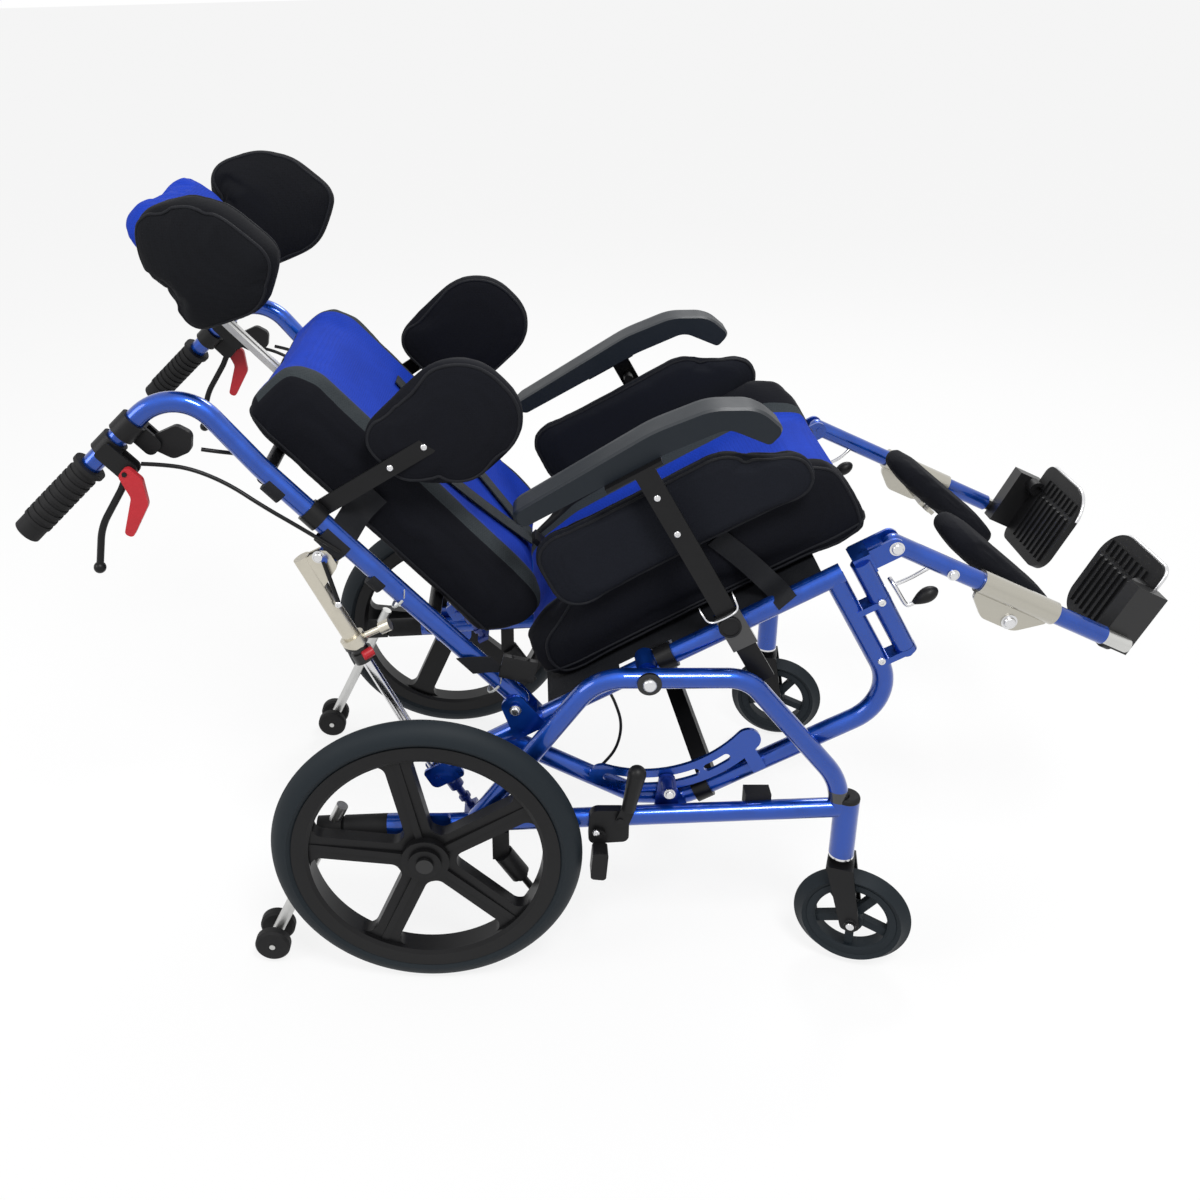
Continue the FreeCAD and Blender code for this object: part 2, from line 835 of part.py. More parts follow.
def recline_clevis():
    half_y = tube_r + clevis_plate + seat_gap
    outline = [
        (recline_u - clevis_half, -14),
        (recline_u + clevis_half, -14),
        (recline_u + 14, clevis_top),
        (recline_u - 14, clevis_top),
    ]
    block = plate_xz(outline, [6, 6, 12, 12], seat_y - half_y, seat_y + half_y)
    floor_w = recline_w - tube_r - cane_n - seat_gap
    slot_half_y = tube_r + seat_gap
    slot = box(recline_u - 60, recline_u + 60, seat_y - slot_half_y, seat_y + slot_half_y, floor_w, 100)
    pin_hole = rod_y(recline_u, recline_w, seat_y - 40, seat_y + 40, recline_pin_r + run_gap)
    return block.cut(slot).cut(pin_hole)


def strut_foot():
    """Two ears behind the rail's rear end that hold the foot of the recline strut."""
    ears = []
    for y0 in (seat_y - strut_rod_r - 5.0, seat_y + strut_rod_r + 1.0):
        outline = [(strut_low_u - 13, rail_w + 8), (strut_low_u - 13, -31)]
        outline += [(seat_rail_rear + 12, -31), (seat_rail_rear + 12, rail_w + 8)]
        ears.append(plate_xz(outline, [6, 9, 6, 3], y0, y0 + 4.0))
    pin = rod_y(strut_low_u, strut_low_w, seat_y - 15, seat_y + 15, strut_pin_r)
    return ears + [pin]


def slot_cut(angle):
    """One lightening slot of the quadrant, on its arc."""
    half = math.degrees(slot_length / quadrant_r) / 2
    r0 = quadrant_r - slot_half
    ring = Part.makeCylinder(quadrant_r + slot_half, 30, V(0, quadrant_y - 15, 0), V(0, 1, 0), 2 * half)
    ring = ring.cut(Part.makeCylinder(r0, 30, V(0, quadrant_y - 15, 0), V(0, 1, 0)))
    bound = ring.BoundBox.Center
    now = math.degrees(math.atan2(bound.x, -bound.z))
    ring = turned_y(ring, now - angle)
    a0 = math.radians(angle - half)
    a1 = math.radians(angle + half)
    ends = []
    for a in (a0, a1):
        ends.append(rod_y(quadrant_r * math.sin(a), -quadrant_r * math.cos(a), quadrant_y - 15, quadrant_y + 15, slot_half))
    return ring.multiFuse(ends)


def quadrant():
    y0 = quadrant_y - quadrant_thick / 2
    y1 = y0 + quadrant_thick
    r0 = quadrant_r - quadrant_half
    r1 = quadrant_r + quadrant_half

    def at(r, angle):
        a = math.radians(angle)
        return V(r * math.sin(a), y0, -r * math.cos(a))

    middle = (quadrant_from + quadrant_to) / 2
    cap = math.degrees(quadrant_half / quadrant_r)
    edges = [
        Part.Arc(at(r0, quadrant_from), at(r0, middle), at(r0, quadrant_to)).toShape(),
        Part.Arc(at(r0, quadrant_to), at(quadrant_r, quadrant_to + cap), at(r1, quadrant_to)).toShape(),
        Part.Arc(at(r1, quadrant_to), at(r1, middle), at(r1, quadrant_from)).toShape(),
        Part.Arc(at(r1, quadrant_from), at(quadrant_r, quadrant_from - cap), at(r0, quadrant_from)).toShape(),
    ]
    plate = Part.Face(Part.Wire(edges)).extrude(V(0, quadrant_thick, 0))
    for i in range(slot_count):
        plate = plate.cut(slot_cut(slot_first + slot_pitch * i))
    tabs = []
    for u in (-58.0, 56.0):
        tabs.append(box(u - 9, u + 9, seat_y + tube_r - 5.0, y1, lower_w + 2.0, -r1 + 14.0))
    return [plate] + tabs


def pivot_boss():
    """The welded boss that the tilt bolt turns in; it fills the gap to the hoop."""
    inner = seat_y - tube_r + 3.0
    return rod_y(0, 0, inner, base_y - tube_r - seat_gap, pivot_boss_r)


def hanger_lugs():
    lugs = []
    for w in lug_w:
        y = seat_y
        arm = box(post_u, hanger_u, y - lug_r + 1, y + lug_r - 1, w - lug_thick / 2, w + lug_thick / 2)
        eye = Part.makeCylinder(lug_r, lug_thick, V(hanger_u, y, w - lug_thick / 2))
        lugs += [arm, eye]
    return lugs


def arm_socket():
    """The square socket outside the rail that the armrest's post slides in."""
    y0 = post_arm_y - post_arm_thick / 2 - 0.2
    y1 = post_arm_y + post_arm_thick / 2 + 0.2
    half = post_arm_width / 2 + 0.2
    outer = box(post_arm_u - half - socket_wall, post_arm_u + half + socket_wall, seat_y + tube_r - 2, y1 + socket_wall, socket_low, socket_high)
    hole = box(post_arm_u - half, post_arm_u + half, y0, y1, socket_low - 1, socket_high + 1)
    return outer.cut(hole)


def seat_frame():
    pieces = seat_tubes() + [pivot_boss(), recline_clevis(), arm_socket()]
    body = fused(pieces + strut_foot() + quadrant() + hanger_lugs())
    body = body.cut(rod_y(0, 0, seat_y - 2 * tube_r, base_y, pivot_bolt_r + run_gap))
    bore = Part.makeCylinder(hanger_pin_r + run_gap, 400, V(hanger_u, seat_y, -300))
    return body.cut(bore)


def brace_bar(u0, u1, ring_u0, ring_u1):
    """One bar of the folding cross, from the right lower tube to the left seat rail."""
    low = V(u0, -seat_y, lower_w)
    high = V(u0, seat_y, rail_w)
    along = (high - low).normalize()
    across = V(0, -along.z, along.y) * 11.0
    a = low + along * (tube_r + 1.5)
    b = high - along * (tube_r + 1.5)
    face = Part.Face(Part.makePolygon([a - across, b - across, b + across, a + across, a - across]))
    bar = face.extrude(V(u1 - u0, 0, 0))
    rings = []
    holes = []
    for p in (low, high):
        rings.append(rod(V(ring_u0, p.y, p.z), V(ring_u1, p.y, p.z), tube_r + 4.0))
        holes.append(rod(V(ring_u0 - 30, p.y, p.z), V(ring_u1 + 30, p.y, p.z), tube_r + 0.1))
    return fused([bar] + rings).cut(Part.makeCompound(holes))


def cross_brace():
    first = brace_bar(-24.0, -2.0, -36.0, -14.0)
    second = mirrored(brace_bar(2.0, 24.0, 14.0, 36.0))
    middle = (lower_w + rail_w) / 2
    bolt = rod(V(-29, 0, middle), V(29, 0, middle), 5.0)
    head = rod(V(-29, 0, middle), V(-24, 0, middle), 9.0)
    first = fused([first, bolt, head])
    second = second.cut(rod(V(-40, 0, middle), V(40, 0, middle), 5.0 + run_gap))
    return [first, second]


def seat_sling():
    """The cloth between the seat rails, cut out round the brace's rings."""
    half = seat_y - tube_r
    sheet = box(cushion_rear_u, seat_rail_front - 22, -half, half, sling_w - sling_thick, sling_w)
    ring = tube_r + 4.5
    notches = [box(-38, 38, s * (seat_y - ring) - 12, s * (seat_y - ring) + 12, sling_w - 9, sling_w + 9) for s in (-1, 1)]
    boss = [box(-16, 16, s * half - 4, s * half + 4, sling_w - 9, sling_w + 9) for s in (-1, 1)]
    return sheet.cut(Part.makeCompound(notches + boss))


def cushion_section(u, half, middle, bolster, floor):
    """A cross-section of the seat cushion: flat below, a hollow between two raised sides."""
    low = floor
    crest = half - 34.0
    valley = half - 78.0
    p = [
        V(u, -half + 8, low),
        V(u, half - 8, low),
        V(u, half, low + 10),
        V(u, half - 2, bolster - 16),
        V(u, crest, bolster),
        V(u, valley, middle + 6),
        V(u, 0, middle + 3),
        V(u, -valley, middle + 6),
        V(u, -crest, bolster),
        V(u, -half + 2, bolster - 16),
        V(u, -half, low + 10),
    ]
    top = V(u, half - 12, bolster - 4)
    top_other = V(u, -half + 12, bolster - 4)
    edges = [Part.makeLine(p[0], p[1]), Part.makeLine(p[1], p[2])]
    edges.append(Part.Arc(p[2], V(u, half + 2, (low + bolster) / 2), p[3]).toShape())
    edges.append(Part.Arc(p[3], top, p[4]).toShape())
    edges.append(Part.makeLine(p[4], p[5]))
    edges.append(Part.Arc(p[5], p[6], p[7]).toShape())
    edges.append(Part.makeLine(p[7], p[8]))
    edges.append(Part.Arc(p[8], top_other, p[9]).toShape())
    edges.append(Part.Arc(p[9], V(u, -half - 2, (low + bolster) / 2), p[10]).toShape())
    edges.append(Part.makeLine(p[10], p[0]))
    return Part.Wire(edges)


def seat_cushion():
    floor = sling_w + seat_gap
    u0 = cushion_rear_u
    u1 = cushion_front_u
    half = cushion_half
    sections = [
        cushion_section(u0, half - 14, 50.0, 68.0, floor + 10),
        cushion_section(u0 + 26, half - 3, 62.0, 80.0, floor),
        cushion_section(u0 + 52, half, 66.0, 88.0, floor),
        cushion_section(u0 + 104, half, cushion_middle, cushion_bolster - 12, floor),
        cushion_section(u0 + 190, half, cushion_middle, cushion_bolster, floor),
        cushion_section(u1 - 50, half, cushion_middle, cushion_bolster, floor),
        cushion_section(u1 - 14, half - 3, cushion_middle - 14, cushion_bolster - 16, floor + 3),
        cushion_section(u1, half - 14, cushion_middle - 30, cushion_bolster - 46, floor + 16),
    ]
    return Part.makeLoft(sections, True, True)


# Back cane and what it carries, in the back's frame: X is n, Z is v


def cane_points():
    return [
        V(cane_n, seat_y, 0),
        V(cane_n, seat_y, cane_bend_v),
        V(cane_forward_n, seat_y, cane_top_v),
        V(handle_end_n, handle_end_y, cane_top_v + 1),
    ]


def back_cane():
    tube = bent_rod(cane_points(), [cane_low_bend, cane_top_bend], tube_r)
    foot = Part.makeSphere(tube_r, V(cane_n, seat_y, 0))
    pin = rod_y(0, 0, seat_y - tube_r - clevis_plate - 6, seat_y + tube_r + clevis_plate + 4, recline_pin_r)
    lug = plate_xz(
        [(2, strut_top_v - 18), (2, strut_top_v + 18), (strut_top_n - 9, strut_top_v + 9), (strut_top_n - 9, strut_top_v - 9)],
        [3, 3, 8, 8],
        seat_y - 3,
        seat_y + 3,
    )
    lug_pin = rod_y(strut_top_n, strut_top_v, seat_y - 13, seat_y + 13, strut_pin_r)
    return fused([tube, foot, pin, lug, lug_pin])


def handle_point(n):
    """A point on the handle's middle line at n, and the line's direction."""
    points = cane_points()
    a = points[2]
    b = points[3]
    t = (n - a.x) / (b.x - a.x)
    return a + (b - a) * t, (b - a).normalize()


def hand_grip():
    end, along = handle_point(handle_end_n)
    start = end - along * (grip_length - 8.0)
    grip = rod(start, end + along * 8.0, grip_r)
    ribs = []
    for i in range(grip_rib_count):
        at = start + along * (14.0 + 9.6 * i)
        ribs.append(rod(at, at + along * 4.6, grip_r + grip_rib_height))
    flange = rod(start, start + along * 5.0, grip_r + 4.0)
    core = rod(start - along, end + along * 0.02, tube_r + run_gap)
    return fused([grip, flange] + ribs).cut(core)


def handle_clamp(n, outward):
    """A clamp ring round the handle with the two ears that a lever turns between."""
    middle, along = handle_point(n)
    a = middle - along * (clamp_length / 2)
    ring = rod(a, a + along * clamp_length, clamp_r)
    hole = rod(a - along * 4, a + along * (clamp_length + 30), tube_r + run_gap)
    n1, pin_y, low = lever_pivot(n, outward)
    top = middle.z + 6
    ears = []
    for off in (-9.0, 5.0):
        outline = [(n - 12, top), (n + 12, top), (n + 12, low - 10), (n - 12, low - 10)]
        ears.append(plate_xz(outline, [4, 4, 9, 9], pin_y + off, pin_y + off + 4.0))
    bridge = box(n - 12, n + 12, pin_y - 9, pin_y + 9, middle.z - clamp_r + 1, top - 4)
    reach = latch_thick + 1.5 if outward > 0 else 0.0
    pin = rod_y(n, low, pin_y - 9, pin_y + 9 + reach, lever_pin_r)
    return fused([ring, bridge, pin] + ears).cut(hole)


def lever_clamps():
    return [handle_clamp(brake_clamp_n, 1), handle_clamp(release_clamp_n, -1)]


def lever_pivot(n, outward):
    """Where a lever turns: n, Y and v."""
    middle, along = handle_point(n)
    return n, middle.y + outward * 12.0, middle.z - lever_drop


def brake_lever():
    """The long outer lever that curves back under the grip to a ball end."""
    n, y, v = lever_pivot(brake_clamp_n, 1)
    hub = rod_y(n, v, y - 4.5, y + 4.5, 9.0)
    points = [V(n, y, v), V(n - 26, y, v - 10), V(n - 82, y, v - 24), V(n - 126, y, v - 56)]
    blade = bent_rod(points, [50, 90], 4.4)
    body = fused([hub, blade, Part.makeSphere(7.5, points[-1], points[-1] - points[-2])])
    return body.cut(rod_y(n, v, y - 10, y + 10, lever_pin_r + run_gap))


def release_lever():
    """The short inner trigger that frees the tilt."""
    n, y, v = lever_pivot(release_clamp_n, -1)
    hub = rod_y(n, v, y - 4.5, y + 4.5, 9.0)
    outline = [(n - 7, v + 3), (n + 7, v + 7), (n + 38, v - 4), (n + 44, v - 24), (n + 26, v - 38), (n + 4, v - 30)]
    paddle = plate_xz(outline, [6, 6, 10, 10, 10, 12], y - 4.5, y + 4.5)
    return hub.fuse(paddle).removeSplitter().cut(rod_y(n, v, y - 10, y + 10, lever_pin_r + run_gap))


def parking_latch():
    """The small thumb piece outside the brake lever that holds it pulled."""
    n, y, v = lever_pivot(brake_clamp_n, 1)
    y0 = y + 9.0 + seat_gap
    outline = [(n + 9, v + 6), (n + 10, v - 18), (n - 10, v - 44), (n - 56, v - 58), (n - 60, v - 48), (n - 18, v - 24), (n - 8, v + 4)]
    plate = plate_xz(outline, [7, 9, 14, 5, 5, 10, 7], y0, y0 + latch_thick)
    return plate.cut(rod_y(n, v, y, y0 + 20, lever_pin_r + run_gap))


def cable(points):
    """A sheathed cable: straight runs with arcs as large as the runs allow."""
    radii = []
    for i in range(1, len(points) - 1):
        before = points[i] - points[i - 1]
        after = points[i + 1] - points[i]
        turn = before.getAngle(after)
        radii.append(0.45 * min(before.Length, after.Length) / math.tan(turn / 2))
    print("cable arc radii", [round(r, 1) for r in radii])
    tube = bent_rod(points, radii, cable_r)
    length = bent_wire(points, radii).Length
    print("cable length", round(length, 1), "volume share", round(tube.Volume / (math.pi * cable_r**2 * length), 4))
    return tube


def brake_cable():
    n, y, v = lever_pivot(brake_clamp_n, 1)
    clip = seat_y + tube_r + cable_r + seat_gap
    points = [
        V(n + 15, y - 2, v - 6),
        V(n + 32, y - 3, v - 24),
        V(n + 52, y - 5, v - 52),
        V(n + 66, y - 9, v - 94),
        V(n + 76, clip + 7, v - 142),
        V(n + 86, clip + 3, v - 194),
        V(1, clip, v - 246),
    ]
    return cable(points)


def release_cable():
    n, y, v = lever_pivot(release_clamp_n, -1)
    clip = seat_y - tube_r - cable_r - seat_gap
    points = [
        V(n + 34, y - 2, v - 45),
        V(n + 46, y - 4, v - 62),
        V(n + 58, clip + 1, v - 82),
        V(cane_n, clip, v - 104),
    ]
    return cable(points)


def cane_bar(v):
    """A cross bar between the two canes, shaped to seat against them."""
    bar = rod(V(0, -seat_y, v), V(0, seat_y, v), bar_r)
    cane = bent_rod(cane_points(), [cane_low_bend, cane_top_bend], tube_r + seat_gap)
    return bar.cut(Part.makeCompound([cane, mirrored(cane)])).Solids[0]


def stem_block():
    """The clamp on the upper bar that the headrest's stem slides in."""
    half = stem_half_width + 9.0
    return box(-bar_r - 4, stem_n + stem_thick / 2 + 4.0, -half, half, bar_v - 15, bar_v + 15)


def back_bars():
    upper = fused([cane_bar(bar_v), stem_block()])
    slide = 0.2
    w = stem_half_width + slide
    slot = box(stem_n - stem_thick / 2 - slide, stem_n + stem_thick / 2 + slide, -w, w, bar_v - 40, bar_v + 40)
    return [upper.cut(slot), cane_bar(low_bar_v)]


def flat_bar(start, end, half, y0, thick):
    """A flat bar with round ends, in a plane across Y."""
    along = (end - start).normalize()
    side = V(-along.z, 0, along.x) * half
    corners = [start - along * half - side, end + along * half - side]
    corners += [end + along * half + side, start - along * half + side]
    round_end = half - 2.0
    return loop_face([V(c.x, y0, c.z) for c in corners], [round_end] * 4).extrude(V(0, thick, 0))


def trunk_arm(n, v):
    """A steel arm from a ring on the cane to the trunk pad's two screws."""
    y0 = trunk_outer_y + seat_gap
    half = trunk_arm_width / 2
    arm = flat_bar(V(cane_n, 0, trunk_arm_v), V(n + trunk_arm_end, 0, v + 5), half, y0, trunk_arm_thick)
    ring = Part.makeCylinder(tube_r + 3, 2 * half, V(cane_n, seat_y, trunk_arm_v - half))
    hole = Part.makeCylinder(tube_r + 0.1, 80, V(cane_n, seat_y, trunk_arm_v - 40))
    return arm.fuse(ring).cut(hole).Solids[0]


def trunk_pad(n, v):
    """A trunk pad: round in front, narrower where it reaches back to its screws."""
    outline = [(-1.0, 1.0), (-1.0, -0.1), (-0.3, -1.0), (1.0, -1.0), (1.0, 1.0)]
    points = [(n + a * trunk_half_n, v + b * trunk_half_v) for a, b in outline]
    return padded(points, [34, 40, 50, 60, 70], trunk_outer_y - trunk_thick, trunk_outer_y, 6.0, 9.0)


def back_section(v, half, front, rear):
    """A cross-section of the back cushion: flat behind, hollowed between two raised edges in front."""
    side = front - rear
    p = [
        V(rear, -half + 8, v),
        V(rear, half - 8, v),
        V(rear + 0.1 * side, half - 1, v),
        V(front - 0.24 * side, half - 1, v),
        V(front, half - 30, v),
        V(front - 11, half - 66, v),
        V(front - 11, -half + 66, v),
        V(front, -half + 30, v),
        V(front - 0.24 * side, -half + 1, v),
        V(rear + 0.1 * side, -half + 1, v),
    ]
    middle = rear + 0.43 * side
    edges = [Part.makeLine(p[0], p[1]), Part.makeLine(p[1], p[2])]
    edges.append(Part.Arc(p[2], V(middle, half, v), p[3]).toShape())
    edges.append(Part.Arc(p[3], V(front - 0.06 * side, half - 11, v), p[4]).toShape())
    edges.append(Part.makeLine(p[4], p[5]))
    edges.append(Part.Arc(p[5], V(front - 15, 0, v), p[6]).toShape())
    edges.append(Part.makeLine(p[6], p[7]))
    edges.append(Part.Arc(p[7], V(front - 0.06 * side, -half + 11, v), p[8]).toShape())
    edges.append(Part.Arc(p[8], V(middle, -half, v), p[9]).toShape())
    edges.append(Part.makeLine(p[9], p[0]))
    return edges


def back_cushion():
    half = back_half
    top = back_top_v
    low = back_low_front_v
    rear = back_rear_n
    front = back_front_n
    rows = [
        (low, half - 10, front - 18, rear + 50),
        (low + 14, half - 3, front - 6, rear + 26),
        (back_low_rear_v, half, front - 2, rear + 2),
        (back_low_rear_v + 40, half, front, rear),
        (top - 46, half, front, rear),
        (top - 14, half - 5, front - 8, rear + 4),
        (top, half - 22, front - 26, rear + 18),
    ]
    sections = [Part.Wire(back_section(v, h, n1, n0)) for v, h, n1, n0 in rows]
    body = Part.makeLoft(sections, True, True)
    channel = stem_half_width + 10.0
    deep = stem_n + stem_thick / 2 + 4.0 + seat_gap
    return body.cut(box(rear - 5, deep, -channel, channel, stem_low_v - 40, top + 5))


def headrest_stem():
    w = stem_half_width
    stem = box(stem_n - stem_thick / 2, stem_n + stem_thick / 2, -w, w, stem_low_v, stem_top_v)
    slot = box(0, 60, -stem_slot / 2, stem_slot / 2, stem_low_v + 12, stem_top_v - 30)
    eye = rod_y(stem_n, stem_top_v, -w, w, 11.0)
    body = stem.cut(slot).fuse(eye)
    return body.cut(rod_y(stem_n, stem_top_v, -40, 40, 5.0 + run_gap))


def turned_about_v(shape, angle, at):
    shape = shape.copy()
    shape.rotate(at, V(0, 0, 1), angle)
    return shape


def head_centre():
    half_y = head_width / 2
    half_v = head_height / 2
    outline = [(-half_y, -half_v + 12), (half_y, -half_v + 12), (half_y, half_v), (-half_y, half_v)]
    pad = padded(outline, [40, 40, 50, 50], -head_thick / 2, head_thick / 2, 8.0, 12.0)
    pad.rotate(V(0, 0, 0), V(0, 0, 1), 90)
    return moved(pad, head_n, 0, head_v)


def head_wing():
    """A side wing: a crowned pad that narrows towards its top, turned a little inwards."""
    outline = [(-86, -62), (12, -100), (84, -66), (76, 12), (50, 54), (-16, 92), (-58, 46)]
    radii = [24, 60, 30, 60, 50, 34, 60]
    pad = padded(outline, radii, -wing_thick / 2, wing_thick / 2, 8.0, 12.0)
    pad = moved(pad, wing_n, wing_y, wing_v)
    return turned_about_v(pad, wing_turn, V(head_n, wing_y, wing_v))


def headrest():
    wing = head_wing()
    wings = [mirrored(wing), wing]
    pads = [head_centre().cut(Part.makeCompound(wings))] + wings
    pads = [turned_about_v(p, -head_turn, V(stem_n, 0, 0)) for p in pads]
    back = head_n - head_thick / 2 - seat_gap
    mount = box(stem_n + 12.5, back + 6.0, -20, 20, stem_top_v - 18, stem_top_v + 18).cut(
        Part.makeCompound([turned_about_v(box(back, back + 40, -60, 60, head_v - 99, head_v + 99), -head_turn, V(stem_n, 0, 0))]))
    cheeks = [box(stem_n - 11, stem_n + 14, y, y + 6, stem_top_v - 11, stem_top_v + 11) for y in (-stem_half_width - 6.3, stem_half_width + 0.3)]
    pin = rod_y(stem_n, stem_top_v, -stem_half_width - 6.3, stem_half_width + 6.3, 5.0)
    return pads + [fused([mount, pin] + cheeks)]


# Recline strut: a tube that hangs from the cane's lug, and a rod that stands on the seat rail's rear end


def strut_line():
    """The strut's top pivot, its foot and its line, in the seat's frame: the tube lies behind the pivot."""
    u, w = back_in_seat(strut_top_n, strut_top_v)
    pivot = V(u, seat_y, w)
    low = V(strut_low_u, seat_y, strut_low_w)
    reach = (low - pivot).Length
    lean = math.asin(strut_offset / reach)
    a = (low - pivot).normalize()
    down = V(a.x * math.cos(lean) - a.z * math.sin(lean), 0, a.z * math.cos(lean) + a.x * math.sin(lean))
    top = low - down * math.sqrt(reach**2 - strut_offset**2)
    return pivot, top, low, down


def strut_tube():
    """The outer tube, carried by two side plates that reach forward to the pivot on the cane."""
    pivot, top, low, down = strut_line()
    start = top - down * 12.0
    end = top + down * (strut_tube_length - 12.0)
    tube = rod(start, end, strut_tube_r)
    collar = rod(end - down * 14.0, end, strut_tube_r + 3)
    bore = rod(start + down * 14.0, end + down * 5.0, strut_rod_r + run_gap)
    plates = []
    for y in (-3.0 - 1.0 - 4.0, 3.0 + 1.0):
        corners = [pivot - down * 11, top - down * 11, top + down * 42, pivot + down * 16]
        out = (pivot - top).normalize()
        corners = [corners[0] + out * 9, corners[1] - out * 8, corners[2] - out * 8, corners[3] + out * 9]
        face = loop_face([V(c.x, seat_y + y, c.z) for c in corners], [9, 5, 8, 9])
        plates.append(face.extrude(V(0, 4.0, 0)))
    body = fused([tube, collar] + plates)
    body = body.cut(rod_y(pivot.x, pivot.z, seat_y - 30, seat_y + 30, strut_pin_r + run_gap))
    clamp = strut_clamp(end - down * 30.0, down, (pivot - top).normalize())
    return fused([body, clamp]).cut(bore)


def strut_clamp(at, down, out):
    """The quick-release ring at the tube's lower end, with its handle."""
    ring = rod(at - down * 7, at + down * 7, strut_tube_r + 5)
    handle = rod(at, at + out * 42.0, 4.0)
    knob = Part.makeCylinder(8.0, 14.0, at + out * 38.0, out)
    return fused([ring, handle, knob])


def strut_rod():
    pivot, top, low, down = strut_line()
    start = top + down * (strut_tube_length - 12.0 - strut_rod_hidden)
    rod_body = rod(start, low - down * 4.0, strut_rod_r)
    eye = rod_y(low.x, low.z, seat_y - 7.5, seat_y + 7.5, 12.0)
    body = fused([rod_body, eye])
    return body.cut(rod_y(low.x, low.z, seat_y - 30, seat_y + 30, strut_pin_r + strut_open_gap))


# Armrest, in the seat's frame


def arm_post():
    y0 = post_arm_y - post_arm_thick / 2
    y1 = post_arm_y + post_arm_thick / 2
    half = post_arm_width / 2
    post = box(post_arm_u - half, post_arm_u + half, y0, y1, post_arm_low, post_arm_top)
    shelf = box(post_arm_u - 50, post_arm_u + 24, arm_pad_y - 12, y1, post_arm_top - 5, post_arm_top)
    bushes = [rod_y(post_arm_u, w, guard_y + guard_thick / 2 + seat_gap, y0 + 1, 7.0) for w in (145.0, 198.0)]
    return fused([post, shelf] + bushes)


def arm_pad():
    """The arm pad: a bar of rounded section that drops at its front."""
    low = post_arm_top + seat_gap
    t = arm_pad_thick
    outline = [
        (-46, low),
        (150, low),
        (228, low - 8),
        (262, low - 52),
        (284, low - 44),
        (270, low - 6),
        (222, low + t - 6),
        (150, low + t + 3),
        (-46, low + t - 6),
    ]
    half = arm_pad_width / 2
    radii = [9, 200, 30, 7, 9, 44, 80, 200, 10]
    return padded(outline, radii, arm_pad_y - half, arm_pad_y + half, 5.0, 8.0)


def side_guard():
    outline = [(guard_rear, guard_low), (guard_front - 8, guard_low), (guard_front, guard_high - 62)]
    outline += [(guard_front - 96, guard_high), (guard_rear + 4, guard_high)]
    half = guard_thick / 2
    return padded(outline, [38, 30, 30, 40, 38], guard_y - half, guard_y + half, 4.0, 6.0)


# Legs


def hanger():
    """The swing-away hanger: its pins stand in the two lugs and its top carries the knee pivot."""
    y = seat_y
    upper, lower = lug_w
    half = lug_thick / 2
    pin = Part.makeCylinder(hanger_pin_r, upper - lower + 2 * half + 12, V(hanger_u, y, lower - half - 6))
    middle_length = upper - lower - lug_thick - 2 * seat_gap
    middle = Part.makeCylinder(tube_r, middle_length, V(hanger_u, y, lower + half + seat_gap))
    top_w = upper + half + seat_gap
    top = Part.makeCylinder(tube_r, knee_w + 6 - top_w, V(hanger_u, y, top_w))
    gap = leg_tube_r + seat_gap
    plates = []
    for y0 in (leg_y - gap - 4, leg_y + gap):
        outline = [(hanger_u - 8, knee_w - 13), (knee_u + 8, knee_w - 13), (knee_u + 13, knee_w + 13)]
        outline.append((hanger_u - 8, knee_w + 13))
        plates.append(plate_xz(outline, [5, 12, 12, 5], y0, y0 + 4))
    web = box(hanger_u - 8, hanger_u + 14, leg_y - gap - 1, y + 6, knee_w - 13, knee_w + 13)
    knee_pin = rod_y(knee_u, knee_w, leg_y - gap - 5, leg_y + gap + 5, knee_pin_r)
    return fused([pin, middle, top, web, knee_pin] + plates)


def leg_tube():
    y = leg_y
    outer = rod(V(0, y, 0), V(leg_tube_length, y, 0), leg_tube_r)
    eye = Part.makeSphere(leg_tube_r, V(0, y, 0), V(1, 0, 0))
    bore = rod(V(leg_tube_length - foot_tube_hidden - 20, y, 0), V(leg_tube_length + 5, y, 0), foot_tube_r + run_gap)
    tube = outer.fuse(eye).cut(bore)
    sleeve = rod(V(122, y, 0), V(228, y, 0), leg_tube_r + 3).cut(rod(V(110, y, 0), V(240, y, 0), leg_tube_r - 0.5))
    cheek = [(126, 2), (126, -22), (150, -42), (196, -42), (226, -16), (226, 2)]
    plate = plate_xz(cheek, [3, 12, 16, 22, 5, 3], y - 3, y + 3)
    plate = plate.cut(rod(V(110, y, 0), V(240, y, 0), leg_tube_r - 0.5))
    z0 = -calf_drop
    arm = box(calf_x - 14, calf_x + 14, calf_y, y + 3, z0 - 6, z0)
    arm = turned_y(arm, calf_tilt, V(calf_x, 0, 0))
    post = turned_y(Part.makeCylinder(6.0, 10.0, V(calf_x, calf_y, z0 - 6)), calf_tilt, V(calf_x, 0, 0))
    body = fused([tube, sleeve, plate, arm, post])
    return body.cut(rod_y(0, 0, y - 30, y + 30, knee_pin_r + run_gap))


def calf_pad():
    """The calf pad: a crowned pad on a short post, tilted from the leg's line."""
    a = calf_half_x
    b = calf_half_y
    outline = [(-a, -b), (a, -b + 6), (a, b - 6), (-a, b)]
    pad = padded(outline, [38, 34, 34, 38], 0, calf_thick, 8.0, 10.0)
    pad.rotate(V(0, 0, 0), V(1, 0, 0), 90)
    pad = moved(pad, calf_x, calf_y, 4.0 - calf_drop + seat_gap)
    return turned_y(pad, calf_tilt, V(calf_x, 0, 0))


